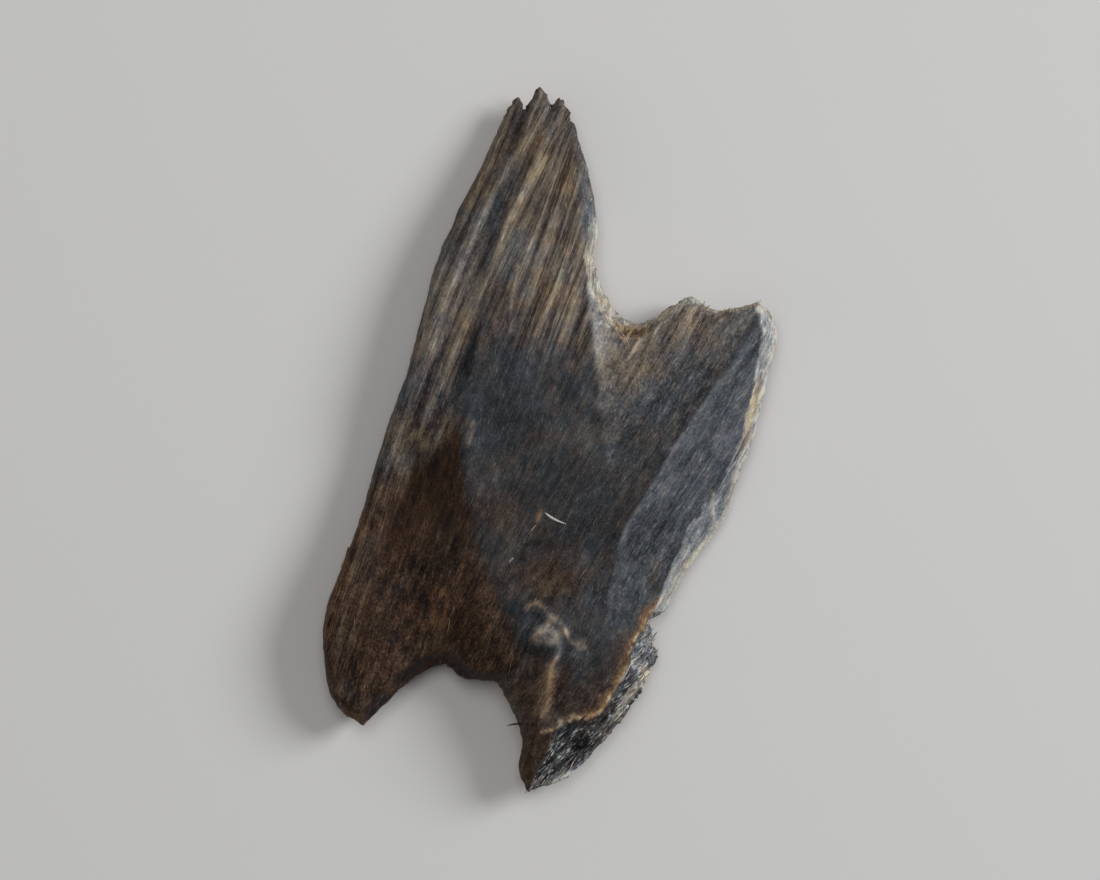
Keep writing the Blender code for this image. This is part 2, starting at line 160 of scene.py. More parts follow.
# Marks on the face: middle line, half width, how much it raises the surface, then what it adds to
# tone, warmth and ochre.
MARKS = [
    # pale bands down the stem
    ([(-0.9, 13.4), (-2.2, 11.6), (-3.15, 9.85), (-4.1, 7.4), (-4.75, 5.6), (-5.3, 3.9)],
     0.22, 0.05, 0.18, 0.1, 0.0),
    ([(-0.3, 12.4), (-1.3, 10.6), (-1.95, 9.0), (-2.5, 7.6), (-3.1, 6.4), (-3.65, 5.0)],
     0.25, 0.06, 0.25, 0.3, 0.0),
    # their fainter ends down the left edge
    ([(-5.3, 3.9), (-5.85, 2.4), (-6.3, 1.0), (-6.85, -1.2)], 0.22, 0.04, 0.12, 0.1, 0.0),
    ([(-3.75, 4.9), (-4.35, 3.6), (-5.0, 2.1), (-5.65, 0.7)], 0.2, 0.04, 0.12, 0.1, 0.0),
    # bright threads beside them
    ([(0.3, 11.8), (-0.5, 9.4), (-1.0, 8.3)], 0.07, 0.03, 0.2, 0.2, 0.0),
    ([(-1.45, 7.6), (-1.7, 6.0), (-1.75, 4.6)], 0.08, 0.03, 0.16, 0.2, 0.0),
    ([(0.5, 7.4), (-0.1, 6.0), (-0.75, 4.5)], 0.09, 0.03, 0.18, 0.2, 0.1),
    ([(1.05, 6.6), (0.9, 5.6), (0.45, 4.3)], 0.09, 0.03, 0.13, 0.3, 0.1),
    ([(1.5, 5.0), (1.1, 3.6), (0.85, 2.9)], 0.1, 0.03, 0.14, 0.4, 0.1),
    # dark furrows between them
    ([(-2.7, 9.6), (-3.6, 7.4), (-4.2, 5.4), (-4.85, 3.9), (-5.5, 2.2), (-5.95, 0.5)],
     0.13, -0.03, -0.06, -0.1, 0.0),
    ([(-1.5, 9.0), (-1.95, 7.2), (-2.55, 5.6), (-3.2, 4.5), (-3.9, 2.9), (-4.4, 1.5)],
     0.2, -0.04, -0.07, -0.3, 0.0),
    ([(1.1, 8.5), (0.8, 7.5), (0.5, 6.5), (0.15, 5.5), (-0.2, 4.5)], 0.09, -0.03, -0.1, -0.1, 0.0),
    ([(1.45, 6.9), (1.42, 5.5), (1.1, 4.2), (1.05, 3.4)], 0.13, -0.05, -0.12, -0.2, 0.0),
    # streak on the crest, and short dashes beside it
    ([(-3.42, 0.62), (-3.45, 0.2), (-3.62, -0.35)], 0.11, 0.04, 0.2, 0.5, 0.2),
    ([(-3.0, -2.1), (-3.2, -2.6)], 0.05, 0.02, 0.12, 0.0, 0.0),
    ([(-2.2, -1.5), (-2.55, -1.95)], 0.05, 0.02, 0.12, 0.0, 0.0),
    ([(-2.75, -3.1), (-3.05, -3.5)], 0.05, 0.02, 0.1, 0.1, 0.0),
    ([(2.5, -0.65), (2.6, -0.8)], 0.06, 0.02, 0.3, 0.3, 0.0),
    # pale crease and splinters under the notch
    ([(1.8, 6.3), (1.88, 5.2), (2.0, 4.2), (2.1, 3.5)], 0.26, 0.03, 0.2, -0.1, 0.0),
    ([(2.1, 4.4), (2.15, 3.2), (2.2, 2.2)], 0.2, 0.02, 0.16, 0.1, 0.0),
    ([(2.15, 2.4), (2.2, 1.2)], 0.18, 0.0, 0.1, 0.1, 0.0),
    ([(3.95, 4.35), (3.7, 3.95), (3.42, 3.5)], 0.09, 0.07, 0.3, 0.5, 0.05),
    ([(3.0, 4.6), (3.3, 4.3), (3.45, 4.05)], 0.07, 0.05, 0.2, 0.5, 0.05),
    ([(3.3, 4.4), (3.6, 4.75)], 0.06, 0.04, 0.2, 0.5, 0.1),
    ([(2.9, 5.0), (3.6, 4.72), (4.4, 4.8)], 0.2, 0.0, 0.03, 0.5, 0.12),
    ([(4.7, 4.7), (4.1, 3.6)], 0.05, 0.04, 0.14, 0.3, 0.1),
    # pale ridge where the bevel starts, its paleness partly a painted highlight, and a dark crease in its
    # lower facet
    ([(7.45, 2.4), (6.73, 1.4), (6.0, 0.38), (5.43, -0.64), (4.9, -1.6)], 0.13, 0.04, 0.12, 0.1, 0.0),
    ([(5.95, 0.3), (5.45, -0.6)], 0.11, 0.02, 0.08, 0.1, 0.0),
    ([(4.55, -2.1), (3.98, -3.0), (3.45, -3.75), (3.1, -4.75)], 0.14, 0.04, 0.13, 0.1, 0.0),
    ([(4.35, -3.6), (3.9, -4.4), (3.4, -5.6)], 0.1, -0.04, -0.08, 0.0, 0.0),
    ([(7.2, -2.45), (7.2, -3.2), (7.36, -3.9)], 0.08, 0.04, 0.2, 0.4, 0.05),
    # comma over the knot, with a dark spot under it
    ([(-1.06, -7.62), (-0.89, -7.43), (-0.67, -7.36), (-0.44, -7.43), (-0.26, -7.62)],
     0.12, 0.05, 0.26, 0.5, 0.15),
    ([(-0.8, -7.8), (-0.45, -8.0)], 0.17, -0.07, -0.11, -0.2, 0.0),
    # arcs round the knot, and a pale claw and spots to its right
    ([(-0.1, -7.9), (0.33, -8.15), (0.6, -8.42), (0.76, -8.75)], 0.1, 0.05, 0.17, 0.1, 0.05),
    ([(0.2, -8.15), (0.48, -8.6)], 0.3, 0.02, 0.15, 0.5, 0.0),
    ([(-0.7, -8.5), (-0.4, -8.37), (-0.08, -8.42)], 0.08, 0.04, 0.2, 0.2, 0.0),
    ([(0.62, -8.55), (0.85, -9.05), (1.2, -9.2), (1.5, -9.0)], 0.09, 0.04, 0.2, 0.2, 0.1),
    ([(1.25, -9.4), (1.52, -9.3)], 0.14, 0.03, 0.28, 0.4, 0.2),
    ([(-0.15, -8.25), (0.15, -8.35)], 0.12, 0.02, 0.12, 0.6, 0.0),
    ([(0.95, -9.65), (1.15, -9.7)], 0.1, 0.03, 0.2, 0.2, 0.0),
    # pale ring of the knot, running out into a line towards the rib
    ([(-0.74, -8.85), (-0.5, -8.64), (-0.2, -8.58), (0.12, -8.67), (0.3, -8.95), (0.36, -9.4),
      (0.28, -9.8)], 0.15, 0.05, 0.23, 0.2, 0.0),
    ([(-0.62, -9.1), (-0.3, -9.22), (0.1, -9.15)], 0.16, 0.03, 0.22, 0.2, 0.0),
    ([(-1.72, -7.15), (-1.6, -7.2)], 0.1, 0.02, 0.14, 0.3, 0.1),
    ([(-0.5, -6.65), (-0.35, -6.7)], 0.13, 0.02, 0.12, 0.5, 0.2),
    # painted shade in the hollow left of the rib, and on the rib's right side
    ([(-1.0, -9.5), (-0.6, -9.8), (-0.5, -10.4)], 0.32, -0.04, -0.06, 0.1, 0.0),
    ([(0.7, -10.0), (0.55, -10.7), (0.25, -11.8)], 0.3, -0.02, -0.09, 0.1, 0.0),
    # the rib down the foot: tan on its right, olive on its left
    ([(0.15, -9.9), (0.07, -10.4), (-0.01, -10.9), (-0.08, -11.4), (-0.12, -12.1)],
     0.19, 0.03, 0.18, 0.3, 0.2),
    ([(-0.18, -10.2), (-0.3, -10.9), (-0.42, -11.5), (-0.5, -12.3)], 0.23, 0.03, 0.19, 0.25, 0.13),
    # olive spot beside the white splinter, and a dark arc below it
    ([(-0.46, -3.25), (-0.55, -3.75)], 0.14, 0.0, 0.14, 0.55, 0.25),
    ([(-1.35, -5.35), (-1.05, -4.85), (-0.6, -4.65), (0.0, -4.8)], 0.18, -0.03, -0.09, 0.2, 0.0),
    # lighter spots in the lobe
    ([(-4.85, -6.9), (-5.1, -7.9)], 0.42, 0.03, 0.13, 0.0, 0.45),
    ([(-5.7, -9.2), (-5.8, -9.5)], 0.22, 0.02, 0.09, 0.0, 0.3),
    ([(-8.3, -6.7), (-8.55, -7.5)], 0.24, 0.02, 0.07, -0.1, 0.1),
    ([(-3.6, -5.2), (-4.4, -6.4)], 0.12, 0.02, 0.07, 0.0, 0.3),
    # cream and white chips along the lower break
    ([(-0.42, -13.06), (0.02, -13.0)], 0.08, 0.05, 0.42, 0.5, 0.2),
    ([(0.44, -12.6), (0.47, -12.75)], 0.12, 0.05, 0.6, -0.4, 0.0),
    ([(0.98, -12.42), (1.34, -12.44)], 0.1, 0.05, 0.4, 0.2, 0.0),
    ([(1.6, -12.42), (1.9, -12.34)], 0.1, 0.05, 0.32, 0.3, 0.05),
    ([(2.1, -12.2), (2.25, -12.1)], 0.09, 0.05, 0.34, 0.2, 0.0),
    ([(2.56, -11.5), (2.62, -11.6)], 0.09, 0.05, 0.45, -0.3, 0.0),
]

# Broad patches: middle line, half width, then what it adds to tone, warmth and ochre.
PATCHES = [
    # lighter
    ([(1.6, 2.5), (1.8, 1.0), (1.7, -0.4)], 0.6, 0.08, -0.05, 0.0),
    ([(-2.8, 5.5), (-3.2, 3.7)], 0.35, 0.07, 0.0, 0.0),
    ([(-1.8, 9.5), (-2.2, 8.5)], 0.35, 0.06, 0.0, 0.0),
    ([(0.3, 8.6), (-0.2, 7.4)], 0.4, 0.06, 0.0, 0.0),
    ([(3.2, 4.3), (2.9, 3.6)], 0.35, 0.06, 0.1, 0.0),
    ([(0.4, -2.6), (-0.1, -4.2)], 0.7, 0.07, 0.2, 0.0),
    ([(2.1, -2.4), (1.8, -3.4)], 0.5, 0.06, 0.0, 0.0),
    ([(-1.9, -3.9), (-1.8, -5.1)], 0.6, 0.045, 0.15, 0.0),
    # painted highlight along the bevel line
    ([(5.25, -0.5), (4.9, -1.4)], 0.4, 0.1, 0.0, 0.0),
    ([(6.2, 1.1), (5.8, -0.1)], 0.4, 0.045, 0.0, 0.0),
    ([(6.1, 4.5), (5.9, 3.8)], 0.4, 0.05, -0.3, 0.0),
    ([(8.2, 4.2), (7.9, 3.0)], 0.45, 0.045, 0.0, 0.0),
    ([(-6.3, 2.4), (-6.9, 0.5), (-7.6, -1.0)], 0.5, 0.09, -0.1, 0.0),
    ([(-4.3, -7.2), (-4.9, -9.8)], 0.8, 0.055, 0.0, 0.14),
    ([(0.1, 2.6), (0.3, 1.2)], 0.6, 0.03, 0.1, 0.0),
    # darker
    ([(-4.8, 4.8), (-5.3, 2.8), (-5.4, 0.8)], 0.6, -0.04, -0.2, 0.0),
    ([(-6.9, -1.8), (-7.5, -3.3)], 0.6, -0.05, 0.3, 0.0),
    ([(-1.5, -1.0), (-2.0, -2.2)], 0.6, -0.04, -0.1, 0.0),
    ([(5.3, 4.3), (5.0, 2.8), (4.5, 1.7)], 0.55, -0.12, -0.2, 0.0),
    ([(1.2, 6.8), (0.9, 5.7)], 0.35, -0.13, -0.1, 0.0),
    ([(-3.8, 9.4), (-4.1, 8.6)], 0.3, -0.06, 0.0, 0.0),
    ([(7.3, 0.3), (6.8, -1.2)], 0.4, -0.05, 0.0, 0.0),
    ([(-1.95, -7.6), (-1.85, -9.3)], 0.65, -0.11, 0.0, 0.0),
    # painted shade on both sides of the rib
    ([(-1.2, -9.7), (-1.1, -11.4)], 0.5, -0.1, 0.0, 0.0),
    ([(0.55, -11.3), (0.45, -12.3)], 0.35, -0.05, 0.0, 0.0),
    ([(4.0, -5.9), (3.5, -7.4)], 0.5, -0.035, 0.0, 0.0),
]


# Tools for curves and noise. The first value that a noise takes is its seed, and each use has its own.

def smooth_stretch(points, step):
    """Catmull-Rom curve through the points, sampled about every step, without its last point."""
    p = np.array(points, float)
    ends = np.vstack([2 * p[0] - p[1], p, 2 * p[-1] - p[-2]])
    samples = []
    for a, b, c, d in zip(ends[:-3], ends[1:-2], ends[2:-1], ends[3:]):
        count = max(1, round(float(np.hypot(*(c - b)[:2])) / step))
        t = (np.arange(count) / count)[:, None]
        samples.append(0.5 * (2 * b + (c - a) * t + (2 * a - 5 * b + 4 * c - d) * t ** 2
                              + (3 * b - a - 3 * c + d) * t ** 3))
    return np.vstack(samples)


def smooth_line(points, step=0.5):
    """A line down the face as a smooth curve with both of its ends."""
    return np.vstack([smooth_stretch(points, step), points[-1]])


def in_batches(work, x, y, size=4000):
    """Runs work on a few thousand points at a time, which keeps its arrays small."""
    parts = [work(x[i:i + size], y[i:i + size]) for i in range(0, max(1, len(x)), size)]
    return tuple(np.concatenate(part) for part in zip(*parts))


def inside(ring, x, y):
    """True where a point is inside the ring, by counting the sides that a ray to +X crosses."""
    ax, ay = ring[:, 0], ring[:, 1]
    bx, by = np.roll(ax, -1), np.roll(ay, -1)
    climb = np.where(by == ay, 1.0, by - ay)

    def crossings(x, y):
        """Whether the ray from each point crosses an odd number of sides."""
        spans = (ay > y[:, None]) != (by > y[:, None])
        crossing = ax + (y[:, None] - ay) * (bx - ax) / climb
        return ((spans & (x[:, None] < crossing)).sum(1) % 2 == 1,)

    return in_batches(crossings, x, y)[0]


def nearest_on(line, x, y, run_on=False):
    """Nearest place on a line: its distance, its side (1 towards +X) and what the line's columns are there.

    With run_on, the two ends of the line run on straight.
    """
    a = line[:-1]
    run = line[1:] - a
    low, high = np.zeros(len(run)), np.ones(len(run))
    if run_on:
        low[0], high[-1] = -np.inf, np.inf

    def nearest(x, y):
        """The closest of each point's feet on all of the line's straight pieces."""
        t = (x[:, None] - a[:, 0]) * run[:, 0] + (y[:, None] - a[:, 1]) * run[:, 1]
        t = np.clip(t / (run[:, 0] ** 2 + run[:, 1] ** 2), low, high)
        gap = np.hypot(x[:, None] - a[:, 0] - t * run[:, 0], y[:, None] - a[:, 1] - t * run[:, 1])
        k = gap.argmin(1)
        row = np.arange(len(x))
        side = np.sign(run[k, 0] * (y - a[k, 1]) - run[k, 1] * (x - a[k, 0]))
        return gap[row, k], side, a[k] + t[row, k][:, None] * run[k]

    return in_batches(nearest, x, y)


def right_of(points, x, y):
    """Signed distance to a line down the face: positive on its +X side, as if its ends ran on."""
    gap, side, _ = nearest_on(smooth_line(points), x, y, run_on=True)
    return side * gap


def to_edge(ring, x, y):
    """Distance to the closed ring, and what its columns are at the nearest place."""
    gap, _, near = nearest_on(np.vstack([ring, ring[:1]]), x, y)
    return gap, near


def ease(value):
    """Smooth rise from 0 to 1 while the value goes from 0 to 1."""
    t = np.clip(value, 0, 1)
    return t * t * (3 - 2 * t)


def rise(value, start, full):
    """0 where the value is at start, 1 where it is at full, and eased between them."""
    return ease((value - start) / (full - start))


def bell(x, y, centre, wide, tall):
    """1 at the centre, falling off as a bell of that half width and half height."""
    return np.exp(-((x - centre[0]) / wide) ** 2 - ((y - centre[1]) / tall) ** 2)


def scrambled(seed, *cells):
    """A steady random value from -1 to 1 for each set of whole numbers, from their mixed bits."""
    bits = np.full(np.shape(cells[0]), seed, np.uint64)
    for cell in cells:
        bits = (bits ^ cell.astype(np.int64).view(np.uint64)) * np.uint64(0x9E3779B97F4A7C15)
        bits ^= bits >> np.uint64(31)
    bits = bits * np.uint64(0xBF58476D1CE4E5B9)
    return (bits >> np.uint64(11)) * 2.0 ** -52 - 1.0


def value_noise(seed, *coords):
    """Noise from -1 to 1: random values at whole-number points, eased between them."""
    cells = [np.floor(c) for c in coords]
    parts = [ease(c - k) for c, k in zip(coords, cells)]
    total = 0
    for corner in itertools.product((0, 1), repeat=len(coords)):
        weight = 1
        for t, side in zip(parts, corner):
            weight = weight * (t if side else 1 - t)
        total = total + weight * scrambled(seed, *[k + side for k, side in zip(cells, corner)])
    return total


def cloud(seed, size, *coords):
    """Blotches from about -1 to 1: noise of that size, and two finer and fainter layers of it."""
    layers = [0.5 ** n * value_noise(seed + n, *[c * 2 ** n / size for c in coords]) for n in range(3)]
    return sum(layers) / 1.3


def fibres(seed, width, length, across, along, depth):
    """Streaks from -1 to 1: columns of that width along the grain, each a run of random values.

    A column eases into its neighbours, and starts its run at its own place, so that no two streaks end
    side by side.
    """
    columns = [np.floor(across / width), np.floor(depth / width)]
    parts = [ease(across / width - columns[0]), ease(depth / width - columns[1])]
    total = 0
    for corner in itertools.product((0, 1), repeat=2):
        column = [k + side for k, side in zip(columns, corner)]
        run = along / length + 40 * scrambled(seed, *column)
        cell = np.floor(run)
        t = ease(run - cell)
        value = (1 - t) * scrambled(seed + 1, *column, cell) + t * scrambled(seed + 1, *column, cell + 1)
        for part, side in zip(parts, corner):
            value = value * (part if side else 1 - part)
        total = total + value
    return total


# The chip's large shape, as in the solid

def outline_ring(step):
    """Closed ring round the chip, clockwise: x, y, rim width and the inward direction at each point."""
    ring = np.vstack([smooth_stretch(s, step) for s in STRETCHES])
    run = np.roll(ring[:, :2], -1, 0) - np.roll(ring[:, :2], 1, 0)
    run /= np.hypot(run[:, 0], run[:, 1])[:, None]
    return np.column_stack([ring, run[:, 1], -run[:, 0]])


def frayed(x, y):
    """How frayed the outline is, in millimetres: most at the stem's end and the broken end."""
    stem_end = rise(y, 13.0, 14.5)
    notch = rise(y, 4.5, 5.3) * rise(x, 1.9, 2.4)
    broken = rise(y, BROKEN_TOP, -8.2) * rise(x, -1.3, -0.8)
    return 0.02 + 0.07 * stem_end + 0.04 * notch + 0.075 * broken


def ragged(ring):
    """The ring with its edge frayed: each point moves along its normal by noise of three sizes."""
    walked = np.cumsum(np.hypot(*(ring[:, :2] - np.roll(ring[:, :2], 1, 0)).T))
    noise = 0.8 * value_noise(11, walked / 0.8) + 0.7 * value_noise(12, walked / 0.3)
    noise += 0.5 * value_noise(13, walked / 0.12)
    out = ring.copy()
    out[:, :2] += (frayed(ring[:, 0], ring[:, 1]) * noise)[:, None] * ring[:, 3:5]
    return out


def turned(x, y, lean):
    """Places across and along a direction that leans by that angle from the Y axis towards +X."""
    return x * np.cos(lean) - y * np.sin(lean), x * np.sin(lean) + y * np.cos(lean)


def mound(x, y, centre, across, along):
    """Rounded mound of height 1 whose long axis follows the grain."""
    u, v = turned(x - centre[0], y - centre[1], GRAIN_LEAN)
    return np.exp(-(u / across) ** 2 - (v / along) ** 2)


def face_height(x, y, gap):
    """Height of the front face; gap is the distance to the outline."""
    z = np.interp(y, *np.transpose(FACE_ALONG))
    z -= 0.5 * np.exp(-gap / 1.3)

    # left of the crest the stem slopes away, and lower down the face is scooped out
    left = -right_of(CREST, x, y)
    low_half = ease((2.6 - y) / 3.6)
    z -= 0.2 * (1 - low_half) * np.maximum(left, 0)
    soft = 2.8 + 2.2 * ease((-1.5 - y) / 4.0)
    z -= 1.15 * low_half * ease(left / soft) * (0.6 + 0.4 * ease((6.8 - left) / 4.5))
    z += (0.1 + 0.12 * low_half) * ease((y + 6.0) / 5.0) * np.exp(-np.abs(left) / 0.8)

    # right of the crease the shoulder lies lower than the stem
    past = right_of(CREASE, x, y)
    z -= 0.4 * ease(past / 0.9) * ease((y + 2.5) / 4.5) * ease((6.5 - past) / 5.0)
    z += 0.15 * np.exp(-np.abs(past) / 0.7) * ease((y - 1.0) / 3.0)

    # past the bevel line the face falls away to the right edge
    z -= 0.42 * np.maximum(right_of(BEVEL, x, y), 0) * ease((y + 10.5) / 3.0)

    # low ridges run down the stem with the grain
    ridges = np.sin(2.6 * turned(x, y, GRAIN_LEAN)[0] + 0.4 * np.sin(0.5 * y))
    z += 0.08 * ridges * ease((y + 1.0) / 6.0) * ease(gap / 0.8)

    # a knot with a hollow beside it, and the rib from it to the foot
    z += 0.28 * np.exp(-(np.hypot(x - KNOT[0], y - KNOT[1]) / 0.65) ** 2)
    z -= 0.24 * np.exp(-(np.hypot(x - HOLLOW[0], y - HOLLOW[1]) / 0.65) ** 2)
    rib = nearest_on(smooth_line(RIB), x, y)[0]
    z += 0.32 * np.exp(-rib / 0.4)

    # the broken end slopes from the break line out to the foot
    beyond = np.maximum(right_of(BREAK, x, y), 0)
    z -= 1.45 * beyond * ease((-6.4 - y) / 1.4) * (1 + 0.15 * np.sin(3.6 * y + 1.5 * x))
    return z


def back_height(x, y, gap):
    """Height of the split back: flat at 0, with long hollows and its edges and ends lifted."""
    z = np.interp(y, *np.transpose(BACK_ALONG))
    z += 0.9 * mound(x, y, (1.3, 0.5), 1.7, 5.5) + 0.6 * mound(x, y, (-6.6, -6.5), 1.1, 3.0)
    z += 0.35 * mound(x, y, (7.2, 1.0), 1.3, 3.5)
    z += 0.5 * np.exp(-gap / 0.45)
    return np.maximum(0.0, z - 0.14)


def large_shape(x, y, gap, rim):
    """Heights of face and back. The slanted rim drops in proportion to its width."""
    top = face_height(x, y, gap)
    low = back_height(x, y, gap)
    drop = (0.1 + 0.6 * rim) * (top - low)
    return np.maximum(top - drop * (1 - np.minimum(gap / rim, 1)), low + 0.35), low


# Grain and marks

def guide_x(row, y):
    """Where a guide fibre is at each y: the cubic through its four places."""
    total = 0
    for i, place in enumerate(row):
        term = place
        for j, other in enumerate(GUIDE_Y):
            if j != i:
                term = term * (y - other) / (GUIDE_Y[i] - other)
        total = total + term
    return total


def grain_coords(x, y):
    """Distance across the grain and along it: fibres keep their place between two guides.

    They wander a little, and spread round the knot. On the broken end they turn towards the shoulder.
    """
    places = [guide_x(row, y) for _, row in GUIDES]
    across = np.full(len(x), GUIDES[0][0])
    for (a, _), (b, _), left, right in zip(GUIDES, GUIDES[1:], places, places[1:]):
        across += (b - a) * np.clip((x - left) / (right - left), 0, 1)
    across += 0.12 * value_noise(9, x / 4.5, y / 5.5)
    swell = np.exp(-((x - KNOT[0]) ** 2 + (y - KNOT[1]) ** 2) / 1.5 ** 2)
    at_knot = np.interp(KNOT[0], [guide_x(row, KNOT[1]) for _, row in GUIDES], [a for a, _ in GUIDES])
    across -= 0.45 * swell * (across - at_knot)
    past_break = (right_of(BREAK, x, y) > 0.03) & (y < BROKEN_TOP - 0.2)
    return np.where(past_break, turned(x, y, BROKEN_LEAN), (across, turned(x, y, GRAIN_LEAN)[1]))


def stroke(points, half, x, y):
    """1 on the line through the points, falling off sideways as a bell of that half width."""
    line = smooth_line(points, 0.2)
    reach = 3 * half
    near = (x > line[:, 0].min() - reach) & (x < line[:, 0].max() + reach)
    near &= (y > line[:, 1].min() - reach) & (y < line[:, 1].max() + reach)
    strength = np.zeros(len(x))
    strength[near] = np.exp(-(nearest_on(line, x[near], y[near])[0] / half) ** 2)
    return strength


def marks_at(x, y, uneven):
    """What the marks and patches add to height, tone, warmth and ochre: the sum of their strokes."""
    added = np.zeros((4, len(x)))
    for points, half, *amounts in MARKS:
        added += np.outer(amounts, stroke(points, half, x, y) * uneven)
    for points, half, *colours in PATCHES:
        added[1:] += np.outer(colours, stroke(points, half, x, y) * uneven)
    return added


def survey(ring, x, y, level):
    """Everything that the shape and the finish ask about a point, worked out once.

    That is its distance to the outline and the inward direction there, its signed distance to each line
    on the face, how far it is down the slanted rim, its place in the grain, streaks of five sizes, and
    the marks on it. Two noises make the inner edge of the rim and the line of the break jagged.
    """
    gap, near = to_edge(ring, x, y)
    rim = near[:, 2]
    top, low = large_shape(x, y, gap, rim)
    across, along = grain_coords(x, y)
    jagged = value_noise(17, x / 0.5, y / 0.5) + 0.7 * value_noise(18, x / 0.2, y / 0.2)
    past = right_of(BREAK, x, y) + 0.06 * jagged
    broken = rise(past, 0.02, 0.12) * rise(y, BROKEN_TOP, -8.0)
    under = np.interp(y, *np.transpose(FACE_ALONG)) - low - (top - low) * level
    depth = -DEPTH_SHARE * under * (1 - 0.75 * broken)
    slant = (rim - gap) / rim + 0.13 * jagged
    pale_rim = rise(x, 1.2, 1.6) * rise(y, -8.0, -7.6) * rise(slant, -0.1, 0.1) * rise(rim, 0.26, 0.34)
    bevel = right_of(BEVEL, x, y)
    streaks = {name: fibres(*sizes, across, along, depth) for name, sizes in STREAKS.items()}
    uneven = 0.75 + 0.35 * streaks["hair"] + 0.3 * value_noise(29, x / 0.35, y / 0.35)
    raised, tone, warm, ochre = marks_at(x, y, uneven * (level > 0.99))
    return SimpleNamespace(
        x=x, y=y, level=level, gap=gap, inward=near[:, 3:5], top=top, low=low, slant=slant,
        left=-right_of(CREST, x, y), band=right_of(BAND, x, y), crease=right_of(CREASE, x, y), bevel=bevel,
        facet=rise(bevel, -0.05, 0.15) * rise(y, -9.5, -6.0), pale_rim=pale_rim, past=past, broken=broken,
        across=across, along=along, depth=depth, **streaks,
        mark_raise=raised, mark_tone=tone, mark_warm=warm, mark_ochre=ochre)


def fine_relief(spot):
    """What the knife and the split left on the face, in millimetres above the large shape.

    Streaks along the grain, stronger on the stem and the shoulder, with small pores between them. The
    scoop has a low step along its upper left side. The broken end is torn into short fibres: noise of
    four sizes, the coarsest in steps.
    """
    x, y = spot.x, spot.y
    grain = spot.across, spot.along, spot.depth
    torn = np.maximum(0.15 + 0.85 * rise(y, 0.5, 6.0), 0.6 * spot.pale_rim)
    relief = 0.03 * cloud(31, 1.8, x, y) + 0.02 * cloud(32, 0.5, x, y) + 0.028 * spot.broad
    relief += (0.012 + 0.03 * torn) * spot.middle + (0.004 + 0.03 * torn) * spot.reed
    relief += (0.01 + 0.012 * torn) * spot.fine + 0.01 * spot.hair
    relief -= 0.045 * rise(fibres(33, 0.16, 1.0, *grain), 0.5, 0.75)
    relief -= 0.09 * rise(spot.band, 0, 0.6) * rise(y, 1.3, 0.3) * np.exp(-np.abs(spot.band) / 1.2)
    relief += 0.05 * cloud(34, 0.3, x, y) * spot.pale_rim
    relief += 0.06 * np.exp(-np.abs(spot.bevel) / 0.2) * rise(y, -7.0, -4.0)
    relief += spot.mark_raise
    ledges = 0.1 * np.round(2 * fibres(36, 0.4, 1.6, *grain)) / 2 + 0.1 * fibres(38, 0.22, 0.9, *grain)
    ledges += 0.09 * fibres(40, 0.12, 0.45, *grain) + 0.07 * cloud(42, 0.3, x, y)
    relief = relief * (1 - spot.broken) + ledges * spot.broken
    return relief * ease(0.25 + spot.gap / 0.35)


def place_on_chip(spot):
    """Where each lattice point lies: level 1 is the face, 0 the back, and between them the wall.

    The wall leans in towards the back, and its layers are pushed in and out by streaks of the grain, and
    by torn lumps where the outline is frayed.
    """
    x, y, level, gap = spot.x, spot.y, spot.level, spot.gap
    grain = spot.across, spot.along, spot.depth
    top = spot.top + fine_relief(spot)
    low = spot.low + 0.03 * (1 + spot.broad) + 0.025 * (1 + spot.middle) + 0.014 * (1 + spot.fine)
    low += 0.05 * rise(fibres(45, 0.3, 2.5, *grain), 0.5, 0.8)
    tuck = (0.35 * (1 - level) ** 2 - 0.12 * np.sin(np.pi * level)) * np.exp(-gap / 0.3)
    side = 2 * (1 - level) * np.sin(np.pi * level) * (gap < 0.01)
    rough = 0.06 * fibres(47, 0.3, 3.5, *grain) + 0.035 * fibres(49, 0.13, 1.2, *grain)
    rough += 0.05 * np.round(2 * fibres(51, 0.5, 5.0, *grain)) / 2
    rough += frayed(x, y) * cloud(53, 0.25, x, y, 3 * level)
    tuck += side * rough * (1 + 8 * frayed(x, y))
    return x + tuck * spot.inward[:, 0], y + tuck * spot.inward[:, 1], low + (top - low) * level


# Where each kind of wood shows, and where shade and light are painted. A region's function gets the
# survey of the points, and a function that pulls the finish towards given values, as far as a weight goes.

# The wood of the middle: dark wood whose blue-grey is a painted sheen.
MIDDLE_WOOD_AND_SHEEN = {"tone": 0.22, "warm": 0.12, "ochre": 0.0, "stripe": 0.02, "mottle": 0.075, "dash": 0.1}


def stem_wood(spot, pull):
    """Tan stripes on dark wood, and greyer left of the crest."""
    x, y, left = spot.x, spot.y, spot.left
    stem = rise(left, 0.9, -0.3) * rise(spot.crease, 0.5, -0.3) * rise(y, 2.0, 6.5)
    pull(stem, tone=0.31, warm=0.6, stripe=0.1, mottle=0.07)
    right_part = rise(x - 0.3 * (y - 4.5), -2.0, -1.3)
    pull(stem * right_part, warm=0.72, ochre=0.05, tone=0.37, stripe=0.14)
    pull(stem * bell(x, y, (-1.6, 8.3), 1.3, 2.2), tone=0.36, warm=0.75)
    pull(rise(left, 0.2, 1.0) * rise(y, -0.5, 4.5), tone=0.405, warm=0.6, stripe=0.1, mottle=0.09)


